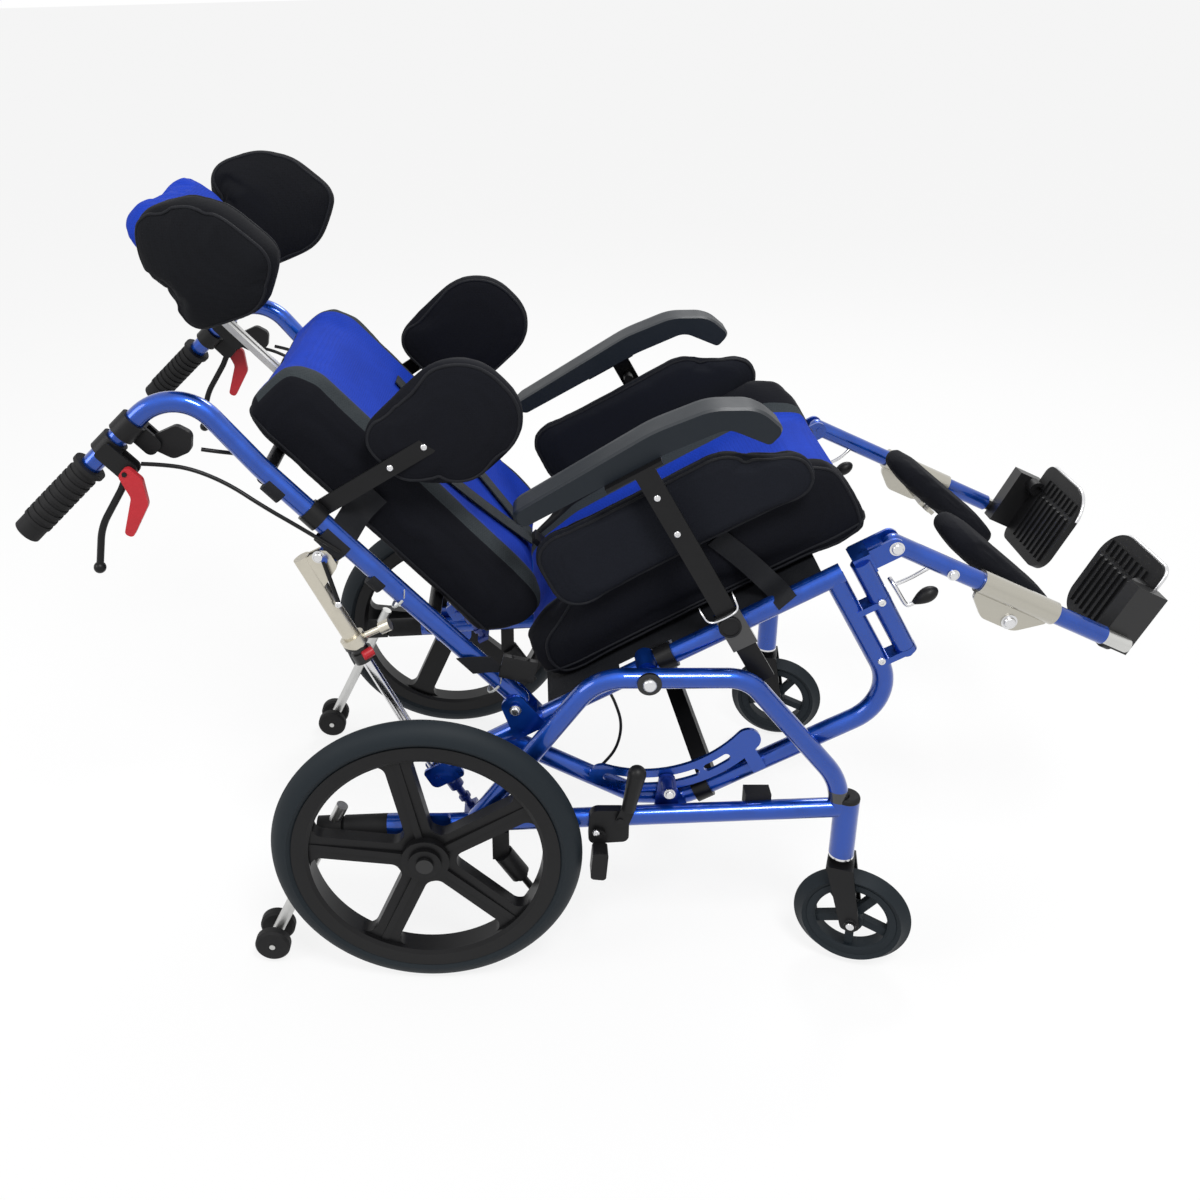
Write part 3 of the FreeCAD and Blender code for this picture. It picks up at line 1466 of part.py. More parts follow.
def foot_tube():
    y = leg_y
    x1 = leg_tube_length + foot_tube_out
    tube = rod(V(leg_tube_length - foot_tube_hidden, y, 0), V(x1, y, 0), foot_tube_r)
    block = box(x1 - 30, x1 + 12, y - 6 - block_thick, y - 6, block_low, block_high)
    pin = rod(V(x1 - 4, y - 44, hinge_z), V(x1 - 4, y - 10, hinge_z), 5.0)
    return fused([tube, block, pin])


def footplate():
    """The flip-up footplate: a ribbed tread square to the leg, hinged beside the block."""
    y1 = leg_y - 6 - block_thick - seat_gap
    y0 = plate_inner_y
    x1 = leg_tube_length + foot_tube_out - 4
    x2 = x1 + 5
    points = [V(x2, y0, plate_low), V(x2, y1, plate_low), V(x2, y1, plate_high), V(x2, y0, plate_high)]
    tread = loop_face(points, [30, 14, 14, 44]).extrude(V(plate_thick, 0, 0))
    knuckle = rod(V(x1, y1 - 20, hinge_z), V(x1, y1, hinge_z), 11.0)
    ribs = []
    pitch = 13.0
    count = int((y1 - y0 - 24) / pitch)
    for i in range(count):
        y = y0 + 14 + i * pitch
        ribs.append(box(x2 - 2.5, x2 + 1, y - 2.5, y + 2.5, plate_low + 14, plate_high - 18))
    body = fused([tread, knuckle] + ribs)
    return body.cut(rod(V(x1, y0 - 5, hinge_z), V(x1, y1 + 5, hinge_z), 5.0 + run_gap))


def build():
    """All nodes in the chair's place, by name."""
    nodes = {}
    nodes["base_frames"] = pair(base_frame())
    nodes["frame_sleeves"] = pair(Part.makeCompound([anti_tip_sleeve(), anti_tip_socket(), housing_cap(), rail_saddle()]))
    nodes["axle_and_pivot_bolts"] = pair(Part.makeCompound([rear_axle(), tilt_bolt()]))
    nodes["tilt_locks_and_stops"] = pair(Part.makeCompound(tilt_hardware()))
    nodes["brake_brackets"] = pair(Part.makeCompound([wheel_lock_bracket(), attendant_brake()]))
    nodes["seat_frames"] = seat_placed(pair(seat_frame()))
    nodes["cross_brace"] = seat_placed(Part.makeCompound(cross_brace()))
    nodes["seat_sling"] = seat_placed(seat_sling())
    nodes["seat_cushion"] = seat_placed(seat_cushion())
    nodes["back_canes"] = back_placed(pair(back_cane()))
    nodes["back_cushion"] = back_placed(back_cushion())
    left_trunk = (trunk_n_left, trunk_v_left)
    right_trunk = (trunk_n_right, trunk_v_right)
    bars = back_bars() + [mirrored(trunk_arm(*right_trunk)), trunk_arm(*left_trunk)]
    nodes["back_bars"] = back_placed(Part.makeCompound(bars))
    nodes["hand_grips"] = back_placed(pair(hand_grip()))
    nodes["lever_clamps"] = back_placed(pair(Part.makeCompound(lever_clamps())))
    pads = [mirrored(trunk_pad(*right_trunk)), trunk_pad(*left_trunk)]
    nodes["trunk_pads"] = back_placed(Part.makeCompound(pads))
    nodes["cables"] = back_placed(pair(Part.makeCompound([brake_cable(), release_cable()])))
    nodes["headrest_stem"] = back_placed(headrest_stem())
    nodes["headrest_pad"] = back_placed(Part.makeCompound(headrest()))
    sided = {
        "rear_wheel": rear_wheel_placed(mag_wheel()),
        "rear_tyre": rear_wheel_placed(tyre(tyre_bead_r, wheel_r, tyre_width)),
        "anti_tip_tube": anti_tip_tube(),
        "anti_tip_wheels": anti_tip_wheels(),
        "wheel_lock_lever": wheel_lock_lever(),
        "wheel_lock_shoe": wheel_lock_shoe(),
        "strut_tube": seat_placed(strut_tube()),
        "strut_rod": seat_placed(strut_rod()),
        "brake_lever": back_placed(brake_lever()),
        "release_lever": back_placed(release_lever()),
        "parking_latch": back_placed(parking_latch()),
        "armrest_post": seat_placed(arm_post()),
        "armrest_pad": seat_placed(arm_pad()),
        "side_guard": seat_placed(side_guard()),
        "hanger": seat_placed(hanger()),
        "legrest": leg_placed(leg_tube()),
        "calf_pad": leg_placed(calf_pad()),
        "foot_tube": leg_placed(foot_tube()),
        "footplate": leg_placed(footplate()),
    }
    for name, shape in sided.items():
        nodes[name + "_left"] = shape
        nodes[name + "_right"] = mirrored(shape)
    for name, shape in (("caster_fork", caster_fork()), ("caster_wheel", caster_wheel())):
        left = caster_placed(shape)
        right = mirrored(left)
        left.rotate(V(housing_x, base_y, 0), V(0, 0, 1), caster_turn_left)
        right.rotate(V(housing_x, -base_y, 0), V(0, 0, 1), caster_turn_right)
        nodes[name + "_left"] = left
        nodes[name + "_right"] = right
    return nodes


def frame_shift(nodes):
    """The move that centres the whole model over its origin, on the floor."""
    boxes = [s.optimalBoundingBox() for s in nodes.values()]
    low = min(b.XMin for b in boxes)
    high = max(b.XMax for b in boxes)
    return V(-(low + high) / 2, 0, -min(b.ZMin for b in boxes))


if __name__ == "__main__":
    os.makedirs("parts", exist_ok=True)
    all_nodes = build()
    shift = frame_shift(all_nodes)
    for node, shape in all_nodes.items():
        placed = moved(shape, shift.x, shift.y, shift.z)
        placed.exportStep("parts/" + node + ".step")
    print("nodes", len(all_nodes), "shift", round(shift.x, 3), round(shift.z, 3))
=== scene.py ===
import json
import math

import bpy
from mathutils import Matrix, Vector


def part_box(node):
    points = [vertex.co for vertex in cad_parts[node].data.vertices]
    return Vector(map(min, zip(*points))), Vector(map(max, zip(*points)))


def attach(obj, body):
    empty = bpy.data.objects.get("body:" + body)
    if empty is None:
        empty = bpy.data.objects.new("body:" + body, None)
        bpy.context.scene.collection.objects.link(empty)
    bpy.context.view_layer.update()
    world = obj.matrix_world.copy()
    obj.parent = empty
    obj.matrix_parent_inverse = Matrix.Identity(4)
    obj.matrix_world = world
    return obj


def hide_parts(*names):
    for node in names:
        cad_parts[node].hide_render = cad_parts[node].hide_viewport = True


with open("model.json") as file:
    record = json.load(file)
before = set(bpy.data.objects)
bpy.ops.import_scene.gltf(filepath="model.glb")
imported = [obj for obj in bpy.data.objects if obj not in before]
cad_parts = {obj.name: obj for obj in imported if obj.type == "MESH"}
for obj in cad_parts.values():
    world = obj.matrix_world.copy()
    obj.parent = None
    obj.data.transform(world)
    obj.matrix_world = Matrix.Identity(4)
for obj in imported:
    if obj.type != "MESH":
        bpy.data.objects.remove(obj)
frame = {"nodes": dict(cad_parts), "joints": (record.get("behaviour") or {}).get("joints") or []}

# A child's wheelchair whose padded seat tilts in space. Sizes are millimetres, times MM to reach Blender's metres.
# Four frames carry the pieces: the chair's own, the tilted seat's (forward, left, up), the back's (out of the
# cushion's front, left, up the cane) and each leg's (down the leg, left, up out of the shin).

MM = 0.001
SEAT_TILT = math.radians(29.3)
BACK_LEAN = math.radians(13.9)
LEG_DROP = math.radians(54.8)
NEAR = -1
FAR = 1
SIDES = ((NEAR, "right"), (FAR, "left"))

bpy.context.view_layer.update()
joints = {joint["name"]: joint for joint in frame["joints"]}


def frame_at(joint_name, angle):
    """The frame at a joint's place, on the chair's middle plane, turned nose-up by angle."""
    place = Vector(joints[joint_name]["pos_m"])
    place.y = 0
    return Matrix.Translation(place) @ Matrix.Rotation(-angle, 4, "Y")


chair_frame = Matrix.Translation(Vector(joints["tilt"]["pos_m"]) - Vector((281, 0, 440)) * MM)
seat_frame = frame_at("tilt", SEAT_TILT)
back_frame = frame_at("recline", SEAT_TILT + BACK_LEAN)
leg_frame = frame_at("legrest_raise_right", SEAT_TILT - LEG_DROP)


def at(place_frame, x, y, z):
    """A point of a frame, given in millimetres."""
    return place_frame @ (Vector((x, y, z)) * MM)


def way(place_frame, x, y, z):
    """A direction of a frame."""
    return place_frame.to_3x3() @ Vector((x, y, z)).normalized()


def on_side(place_frame, side, points):
    """Points of a frame, their middle number the distance from the middle plane, on the near or the far side."""
    return [at(place_frame, x, side * y, z) for x, y, z in points]


# Node trees


def feed(tree, socket, value):
    """Links a socket to another one, or sets it to a plain value."""
    if isinstance(value, bpy.types.NodeSocket):
        tree.links.new(value, socket)
    else:
        socket.default_value = value


def made(tree, kind, inputs=None, **settings):
    """A new node, its settings set and its inputs fed."""
    node = tree.nodes.new(kind)
    for label, value in settings.items():
        setattr(node, label, value)
    for label, value in (inputs or {}).items():
        feed(tree, node.inputs[label], value)
    return node


def maths(tree, operation, *values):
    return made(tree, "ShaderNodeMath", dict(enumerate(values)), operation=operation).outputs[0]


def object_place(tree):
    return made(tree, "ShaderNodeTexCoord").outputs["Object"]


# Camera, lamps and floor

CAMERA_PLACE = (142.9, -1505.0, 1220.2)
CAMERA_YAW = -0.04333
CAMERA_PITCH = 0.39809
CAMERA_ROLL = -0.02673
CAMERA_LENS = 35.262
CAMERA_SHIFT = (0.0943, -0.0949)
WHITE = (1, 1, 1, 1)
WORLD_LIGHT = 0.5
FLOOR_SIZE = 900
FLOOR_WHITE_SHARE = 0.84
LAMP_AIM = (0, 0, 0.5)


def add_camera():
    level = Vector((math.cos(CAMERA_YAW), -math.sin(CAMERA_YAW), 0))
    flat = math.cos(CAMERA_PITCH)
    ahead = Vector((math.sin(CAMERA_YAW) * flat, math.cos(CAMERA_YAW) * flat, -math.sin(CAMERA_PITCH)))
    above = level.cross(ahead)
    right = math.cos(CAMERA_ROLL) * level + math.sin(CAMERA_ROLL) * above
    up = -math.sin(CAMERA_ROLL) * level + math.cos(CAMERA_ROLL) * above
    data = bpy.data.cameras.new("camera")
    data.sensor_width = 36
    data.lens = CAMERA_LENS
    data.shift_x, data.shift_y = CAMERA_SHIFT
    camera = bpy.data.objects.new("camera", data)
    turned = Matrix((right, up, -ahead)).transposed().to_4x4()
    camera.matrix_world = Matrix.Translation(at(chair_frame, *CAMERA_PLACE)) @ turned
    bpy.context.collection.objects.link(camera)
    bpy.context.scene.camera = camera


def add_lamp(name, place, size, power):
    data = bpy.data.lights.new(name, "AREA")
    data.shape = "DISK"
    data.size = size
    data.energy = power
    lamp = bpy.data.objects.new(name, data)
    lamp.location = place
    lamp.rotation_euler = (Vector(LAMP_AIM) - Vector(place)).to_track_quat("-Z", "Y").to_euler()
    bpy.context.collection.objects.link(lamp)


def seen_by_eye_or_mirror(tree):
    """1 for what the camera sees, straight, in a mirror or through glass, and 0 for what lights the object."""
    rays = made(tree, "ShaderNodeLightPath").outputs
    seen = maths(tree, "MAXIMUM", rays["Is Camera Ray"], rays["Is Glossy Ray"])
    return maths(tree, "MAXIMUM", seen, rays["Is Transmission Ray"])


def add_world():
    world = bpy.data.worlds.new("studio")
    bpy.context.scene.world = world
    world.use_nodes = True
    tree = world.node_tree
    tree.nodes.clear()
    light = made(tree, "ShaderNodeBackground", {"Color": WHITE, "Strength": WORLD_LIGHT})
    white = made(tree, "ShaderNodeBackground", {"Color": WHITE, "Strength": 1.0})
    shares = {0: seen_by_eye_or_mirror(tree), 1: light.outputs[0], 2: white.outputs[0]}
    mix = made(tree, "ShaderNodeMixShader", shares)
    made(tree, "ShaderNodeOutputWorld", {"Surface": mix.outputs[0]})


def add_floor():
    """A pale floor out to the horizon, mostly white to the camera, with the chair's shadow on it."""
    bpy.ops.mesh.primitive_plane_add(size=FLOOR_SIZE, location=(0, 0, -0.0005))
    floor = bpy.context.object
    floor.name = "studio_floor"
    material = bpy.data.materials.new("pale floor")
    material.use_nodes = True
    tree = material.node_tree
    shader = tree.nodes["Principled BSDF"]
    shader.inputs["Base Color"].default_value = (0.9, 0.9, 0.9, 1)
    shader.inputs["Roughness"].default_value = 0.95
    shader.inputs["Specular IOR Level"].default_value = 0.0
    white = made(tree, "ShaderNodeEmission", {"Color": WHITE, "Strength": 1.0})
    share = maths(tree, "MULTIPLY", seen_by_eye_or_mirror(tree), FLOOR_WHITE_SHARE)
    mix = made(tree, "ShaderNodeMixShader", {0: share, 1: shader.outputs[0], 2: white.outputs[0]})
    feed(tree, tree.nodes["Material Output"].inputs["Surface"], mix.outputs[0])
    floor.data.materials.append(material)


bpy.context.scene.view_settings.view_transform = "Standard"
add_camera()
add_world()
add_floor()
add_lamp("key", (0.5, -1.9, 3.1), 1.0, 70)
add_lamp("fill", (-2.4, -1.4, 2.0), 1.4, 24)
add_lamp("rim", (0.8, 2.0, 2.8), 1.0, 40)


# Materials: shared effects are node groups, and each material sets its own values


def new_group(name, inputs, outputs):
    group = bpy.data.node_groups.new(name, "ShaderNodeTree")
    for label, kind, value in inputs:
        socket = group.interface.new_socket(name=label, in_out="INPUT", socket_type=kind)
        socket.default_value = value
    for label, kind in outputs:
        group.interface.new_socket(name=label, in_out="OUTPUT", socket_type=kind)
    return group, group.nodes.new("NodeGroupInput").outputs, group.nodes.new("NodeGroupOutput").inputs


def wear_group():
    """Large soft patches that change colour and roughness a little."""
    group, given, wanted = new_group(
        "surface wear",
        [
            ("Colour", "NodeSocketColor", (0.5, 0.5, 0.5, 1)),
            ("Dust", "NodeSocketColor", (0.3, 0.3, 0.3, 1)),
            ("Roughness", "NodeSocketFloat", 0.5),
            ("Amount", "NodeSocketFloat", 0.1),
            ("Scale", "NodeSocketFloat", 12.0),
        ],
        [("Colour", "NodeSocketColor"), ("Roughness", "NodeSocketFloat"), ("Height", "NodeSocketFloat")],
    )
    noise = {"Detail": 5, "Roughness": 0.6, "Vector": object_place(group), "Scale": given["Scale"]}
    patches = made(group, "ShaderNodeTexNoise", noise).outputs["Fac"]
    spread = made(group, "ShaderNodeMapRange", {"From Min": 0.35, "From Max": 0.75, "Value": patches})
    part = maths(group, "MULTIPLY", spread.outputs["Result"], given["Amount"])
    dusted = {0: part, 6: given["Colour"], 7: given["Dust"]}
    mix = made(group, "ShaderNodeMix", dusted, data_type="RGBA")
    feed(group, wanted["Colour"], mix.outputs[2])
    feed(group, wanted["Roughness"], maths(group, "ADD", given["Roughness"], part))
    feed(group, wanted["Height"], patches)
    return group


def mesh_cloth_group():
    """Air-mesh cloth: a close lattice of small round eyes, as height and as painted shade that darkens each eye."""
    group, given, wanted = new_group(
        "air mesh cloth",
        [
            ("Colour", "NodeSocketColor", (0.02, 0.02, 0.02, 1)),
            ("Eyes", "NodeSocketFloat", 420.0),
            ("Depth", "NodeSocketFloat", 0.4),
        ],
        [("Colour", "NodeSocketColor"), ("Height", "NodeSocketFloat")],
    )
    place = object_place(group)
    lattice = {"Randomness": 0.25, "Vector": place, "Scale": given["Eyes"]}
    cells = made(group, "ShaderNodeTexVoronoi", lattice, feature="SMOOTH_F1")
    eyes = {"From Min": 0.12, "From Max": 0.5, "Value": cells.outputs["Distance"]}
    lift = made(group, "ShaderNodeMapRange", eyes).outputs["Result"]
    drift = made(group, "ShaderNodeTexNoise", {"Scale": 9.0, "Detail": 4, "Vector": place}).outputs["Fac"]
    tone = maths(group, "MULTIPLY_ADD", drift, 0.5, 0.72)
    # Painted shade: each eye is darker where it sinks lowest.
    shade = maths(group, "MULTIPLY_ADD", lift, given["Depth"], 0.8)
    both = maths(group, "MULTIPLY", tone, shade)
    grey = made(group, "ShaderNodeCombineColor", {0: both, 1: both, 2: both}).outputs[0]
    darker = {0: 1.0, 6: given["Colour"], 7: grey}
    mix = made(group, "ShaderNodeMix", darker, data_type="RGBA", blend_type="MULTIPLY")
    feed(group, wanted["Colour"], mix.outputs[2])
    feed(group, wanted["Height"], lift)
    return group


def webbing_group():
    """Woven tape: fine ribs across two directions, as height."""
    group, given, wanted = new_group(
        "woven tape", [("Ribs", "NodeSocketFloat", 700.0)], [("Height", "NodeSocketFloat")])
    place = object_place(group)
    waves = []
    for axis in ("X", "Y", "Z"):
        ribs = {"Distortion": 0.4, "Vector": place, "Scale": given["Ribs"]}
        waves.append(made(group, "ShaderNodeTexWave", ribs, bands_direction=axis).outputs["Fac"])
    crossed = maths(group, "MULTIPLY", waves[0], waves[1])
    feed(group, wanted["Height"], maths(group, "ADD", crossed, waves[2]))
    return group


WEAR = wear_group()
AIR_MESH = mesh_cloth_group()
WOVEN = webbing_group()


def start_material(name, colour, roughness, metallic, dust, amount, scale):
    """A Principled material whose colour and roughness pass through the wear group."""
    material = bpy.data.materials.new(name)
    material.use_nodes = True
    tree = material.node_tree
    shader = tree.nodes["Principled BSDF"]
    wear = made(tree, "ShaderNodeGroup", {}, node_tree=WEAR)
    wear.inputs["Colour"].default_value = (*colour, 1)
    wear.inputs["Dust"].default_value = (*dust, 1)
    wear.inputs["Roughness"].default_value = roughness
    wear.inputs["Amount"].default_value = amount
    wear.inputs["Scale"].default_value = scale
    feed(tree, shader.inputs["Base Color"], wear.outputs["Colour"])
    feed(tree, shader.inputs["Roughness"], wear.outputs["Roughness"])
    shader.inputs["Metallic"].default_value = metallic
    return material, tree, shader


def add_bump(tree, shader, height, strength, distance):
    bump = made(tree, "ShaderNodeBump", {"Strength": strength, "Distance": distance, "Height": height})
    feed(tree, shader.inputs["Normal"], bump.outputs["Normal"])


def blue_paint(name):
    material, tree, shader = start_material(
        name, (0.002, 0.050, 0.33), 0.27, 0.86, (0.004, 0.085, 0.50), 0.35, 30.0)
    flake = made(tree, "ShaderNodeTexVoronoi", {"Scale": 2600.0, "Vector": object_place(tree)})
    add_bump(tree, shader, flake.outputs["Distance"], 0.06, 0.0004)
    shader.inputs["Coat Weight"].default_value = 1.0
    shader.inputs["Coat Roughness"].default_value = 0.05
    return material


def navy_paint():
    material, tree, shader = start_material(
        "dark blue paint", (0.002, 0.018, 0.17), 0.3, 0.5, (0.005, 0.04, 0.28), 0.3, 40.0)
    shader.inputs["Coat Weight"].default_value = 0.6
    shader.inputs["Coat Roughness"].default_value = 0.12
    return material


def moulded_plastic(name, colour, roughness, grain, strength):
    material, tree, shader = start_material(name, colour, roughness, 0.0, (0.022, 0.022, 0.024), 0.10, 16.0)
    pits = made(tree, "ShaderNodeTexNoise", {"Scale": grain, "Detail": 3, "Vector": object_place(tree)})
    add_bump(tree, shader, pits.outputs["Fac"], strength, 0.0006)
    shader.inputs["Specular IOR Level"].default_value = 0.22
    return material


def metal(name, colour, roughness):
    """Polished or drawn metal: long fine scratches along one way."""
    worn = tuple(0.6 * c for c in colour)
    material, tree, shader = start_material(name, colour, roughness, 1.0, worn, 0.18, 20.0)
    drawn = {"Scale": (900.0, 40.0, 40.0), "Vector": object_place(tree)}
    stretch = made(tree, "ShaderNodeMapping", drawn).outputs["Vector"]
    lines = made(tree, "ShaderNodeTexNoise", {"Scale": 3.0, "Detail": 4, "Vector": stretch})
    add_bump(tree, shader, lines.outputs["Fac"], 0.08, 0.0004)
    return material


def between(tree, value, low, high, soft):
    """1 where value is between low and high, with soft edges."""
    half = (high - low) / 2
    away = maths(tree, "ABSOLUTE", maths(tree, "SUBTRACT", value, (low + high) / 2))
    edge = {"From Min": half + soft, "From Max": half, "Value": away}
    return made(tree, "ShaderNodeMapRange", edge).outputs["Result"]


def local_place(tree, place):
    """Object coordinates seen from another frame, as separate X, Y and Z."""
    seat = {"Location": place.translation, "Rotation": place.to_euler(), "Vector": object_place(tree)}
    mapping = made(tree, "ShaderNodeMapping", seat, vector_type="TEXTURE")
    return made(tree, "ShaderNodeSeparateXYZ", {"Vector": mapping.outputs["Vector"]}).outputs


def patch_mask(tree, place, bands, soft):
    """1 where all bands (axis, low, high) of a frame hold. Along Y they count from the middle plane, both ways."""
    local = local_place(tree, place)
    mask = None
    for axis, low, high in bands:
        value = maths(tree, "ABSOLUTE", local[axis]) if axis == "Y" else local[axis]
        band = between(tree, value, low * MM, high * MM, soft)
        mask = band if mask is None else maths(tree, "MULTIPLY", mask, band)
    return mask


def colour_mix(tree, mask, first, second):
    """first where the mask is 0 and second where it is 1. Each is a socket or a plain colour."""
    tones = [(*tone, 1) if isinstance(tone, tuple) else tone for tone in (first, second)]
    return made(tree, "ShaderNodeMix", {0: mask, 6: tones[0], 7: tones[1]}, data_type="RGBA").outputs[2]


BLACK_CLOTH = (0.0030, 0.0034, 0.0058)
BLUE_CLOTH = (0.008, 0.036, 0.34)
TAPE_GREY = (0.030, 0.036, 0.040)
CLOTH_EDGE = 0.0006
PAINT_EDGE = 0.0002


def cloth(name, colour, place=None, blue=None, tape=None, eyes=420.0):
    """Air-mesh cloth. In a pad's own frame, blue and tape are lists of (axis, low, high) bands that must all hold."""
    material = bpy.data.materials.new(name)
    material.use_nodes = True
    tree = material.node_tree
    shader = tree.nodes["Principled BSDF"]
    shade = colour
    if place is not None:
        for bands, tone in ((blue, BLUE_CLOTH), (tape, TAPE_GREY)):
            shade = colour_mix(tree, patch_mask(tree, place, bands, CLOTH_EDGE), shade, tone)
    if isinstance(shade, tuple):
        shade = (*shade, 1)
    weave = made(tree, "ShaderNodeGroup", {}, node_tree=AIR_MESH)
    feed(tree, weave.inputs["Eyes"], eyes)
    feed(tree, weave.inputs["Colour"], shade)
    feed(tree, shader.inputs["Base Color"], weave.outputs["Colour"])
    add_bump(tree, shader, weave.outputs["Height"], 0.25, 0.0006)
    shader.inputs["Roughness"].default_value = 0.82
    shader.inputs["Specular IOR Level"].default_value = 0.14
    return material


def woven_tape(name, colour):
    worn = tuple(1.6 * c for c in colour)
    material, tree, shader = start_material(name, colour, 0.6, 0.0, worn, 0.2, 25.0)
    shader.inputs["Specular IOR Level"].default_value = 0.2
    ribs = made(tree, "ShaderNodeGroup", {}, node_tree=WOVEN)
    add_bump(tree, shader, ribs.outputs["Height"], 0.25, 0.0005)
    return material


def banded(material, patches):
    """Adds patches of other finishes to a material. Each is (place, bands, colour, roughness, metallic)."""
    tree = material.node_tree
    shader = tree.nodes["Principled BSDF"]
    for place, bands, colour, roughness, metallic in patches:
        mask = patch_mask(tree, place, bands, PAINT_EDGE)
        old = shader.inputs["Base Color"].links[0].from_socket
        feed(tree, shader.inputs["Base Color"], colour_mix(tree, mask, old, colour))
        for label, value in (("Roughness", roughness), ("Metallic", metallic)):
            socket = shader.inputs[label]
            old = socket.links[0].from_socket if socket.is_linked else socket.default_value
            blend = made(tree, "ShaderNodeMix", {0: mask, 2: old, 3: value}, data_type="FLOAT")
            feed(tree, socket, blend.outputs[0])
    return material


PAINT = blue_paint("blue metallic paint")
NAVY = navy_paint()
BLACK_PLASTIC = moulded_plastic("black moulded plastic", (0.005, 0.005, 0.0055), 0.42, 900.0, 0.12)
BLACK_PAINT = moulded_plastic("black coated steel", (0.004, 0.004, 0.0045), 0.34, 500.0, 0.05)
WHEEL_BLACK = moulded_plastic("wheel nylon", (0.0045, 0.0045, 0.005), 0.36, 700.0, 0.08)
GRIP_RUBBER = moulded_plastic("grip rubber", (0.008, 0.008, 0.0085), 0.62, 1200.0, 0.2)
TYRE_GREY = moulded_plastic("solid tyre", (0.007, 0.0115, 0.0155), 0.58, 600.0, 0.15)
ARM_FOAM = moulded_plastic("moulded arm foam", (0.008, 0.0115, 0.016), 0.42, 800.0, 0.18)
RED_PLASTIC = moulded_plastic("red latch plastic", (0.42, 0.020, 0.028), 0.3, 400.0, 0.05)
CABLE_SHEATH = moulded_plastic("cable sheath", (0.004, 0.004, 0.0045), 0.3, 400.0, 0.04)
TIE_NYLON = moulded_plastic("pale tie nylon", (0.42, 0.43, 0.42), 0.35, 300.0, 0.03)
CHROME = metal("bright steel", (0.72, 0.72, 0.73), 0.16)
SATIN = metal("satin aluminium", (0.58, 0.58, 0.57), 0.32)
WELT_CLOTH = woven_tape("black piping", (0.0050, 0.0056, 0.0080))
TAPE = woven_tape("grey woven tape", (0.020, 0.024, 0.027))
WEBBING = woven_tape("black webbing", (0.0070, 0.0076, 0.0095))

PLAIN_CLOTH = cloth("black air mesh", BLACK_CLOTH)
GUARD_CLOTH = cloth("guard cover", (0.0055, 0.0064, 0.0100), eyes=520.0)
HEAD_CLOTH = cloth("headrest middle", BLUE_CLOTH)
WING_CLOTH = cloth("headrest wings", (0.0036, 0.0040, 0.0056), eyes=300.0)
SEAT_CLOTH = cloth(
    "seat cover", BLACK_CLOTH, seat_frame,
    blue=[("Y", -1, 108), ("Z", 30, 140)], tape=[("Y", 108, 120), ("Z", 30, 140)])
BACK_CLOTH = cloth(
    "back cover", BLACK_CLOTH, back_frame,
    blue=[("Y", -1, 133), ("X", 40, 150)], tape=[("Y", 133, 156), ("X", 40, 150)])

BLACK = (0.005, 0.005, 0.0055)
STEEL = (0.70, 0.70, 0.71)
PALE = (0.45, 0.43, 0.37)

BASE_PAINT = banded(blue_paint("base frame paint"), [
    (chair_frame, [("X", 500, 580), ("Z", 259.2, 275)], BLACK, 0.45, 0.0),
    (chair_frame, [("X", 500, 580), ("Z", 165, 174)], STEEL, 0.2, 1.0),
])
SEAT_PAINT = banded(blue_paint("seat frame paint"), [
    (seat_frame, [("X", 86, 146), ("Y", 235.2, 260), ("Z", -90, 50)], BLACK, 0.4, 0.0),
])
LEG_PAINT = banded(blue_paint("legrest paint"), [
    (leg_frame, [("X", 122, 228), ("Y", 100, 260), ("Z", -60, 40)], PALE, 0.3, 1.0),
])
FOOT_METAL = banded(metal("foot tube", (0.64, 0.64, 0.62), 0.25), [
    (leg_frame, [("X", 296, 420), ("Y", 0, 199.4), ("Z", -60, 140)], BLACK, 0.4, 0.0),
])
BOLT_STEEL = banded(metal("bolts and axle ends", (0.72, 0.72, 0.73), 0.16), [
    (chair_frame, [("X", -60, 60), ("Y", 0, 400), ("Z", 150, 250)], BLACK, 0.4, 0.0),
    (chair_frame, [("X", 255, 305), ("Y", 0, 278.9), ("Z", 410, 470)], BLACK, 0.4, 0.0),
])
STRUT_METAL = banded(metal("strut tube", (0.60, 0.565, 0.48), 0.3), [
    (chair_frame, [("X", -200, 0), ("Y", 100, 300), ("Z", 400, 466)], BLACK, 0.4, 0.0),
])


# Materials on the solids

BOTH_SIDES = {
    "rear_wheel": WHEEL_BLACK,
    "rear_tyre": TYRE_GREY,
    "caster_fork": BLACK_PAINT,
    "caster_wheel": TYRE_GREY,
    "anti_tip_tube": SATIN,
    "anti_tip_wheels": GRIP_RUBBER,
    "wheel_lock_lever": BLACK_PLASTIC,
    "wheel_lock_shoe": BLACK_PLASTIC,
    "strut_tube": STRUT_METAL,
    "strut_rod": CHROME,
    "brake_lever": BLACK_PAINT,
    "release_lever": BLACK_PLASTIC,
    "parking_latch": RED_PLASTIC,
    "armrest_post": BLACK_PAINT,
    "hanger": PAINT,
    "legrest": LEG_PAINT,
    "foot_tube": FOOT_METAL,
    "footplate": BLACK_PLASTIC,
    "armrest_pad": ARM_FOAM,
    "side_guard": GUARD_CLOTH,
    "calf_pad": PLAIN_CLOTH,
}
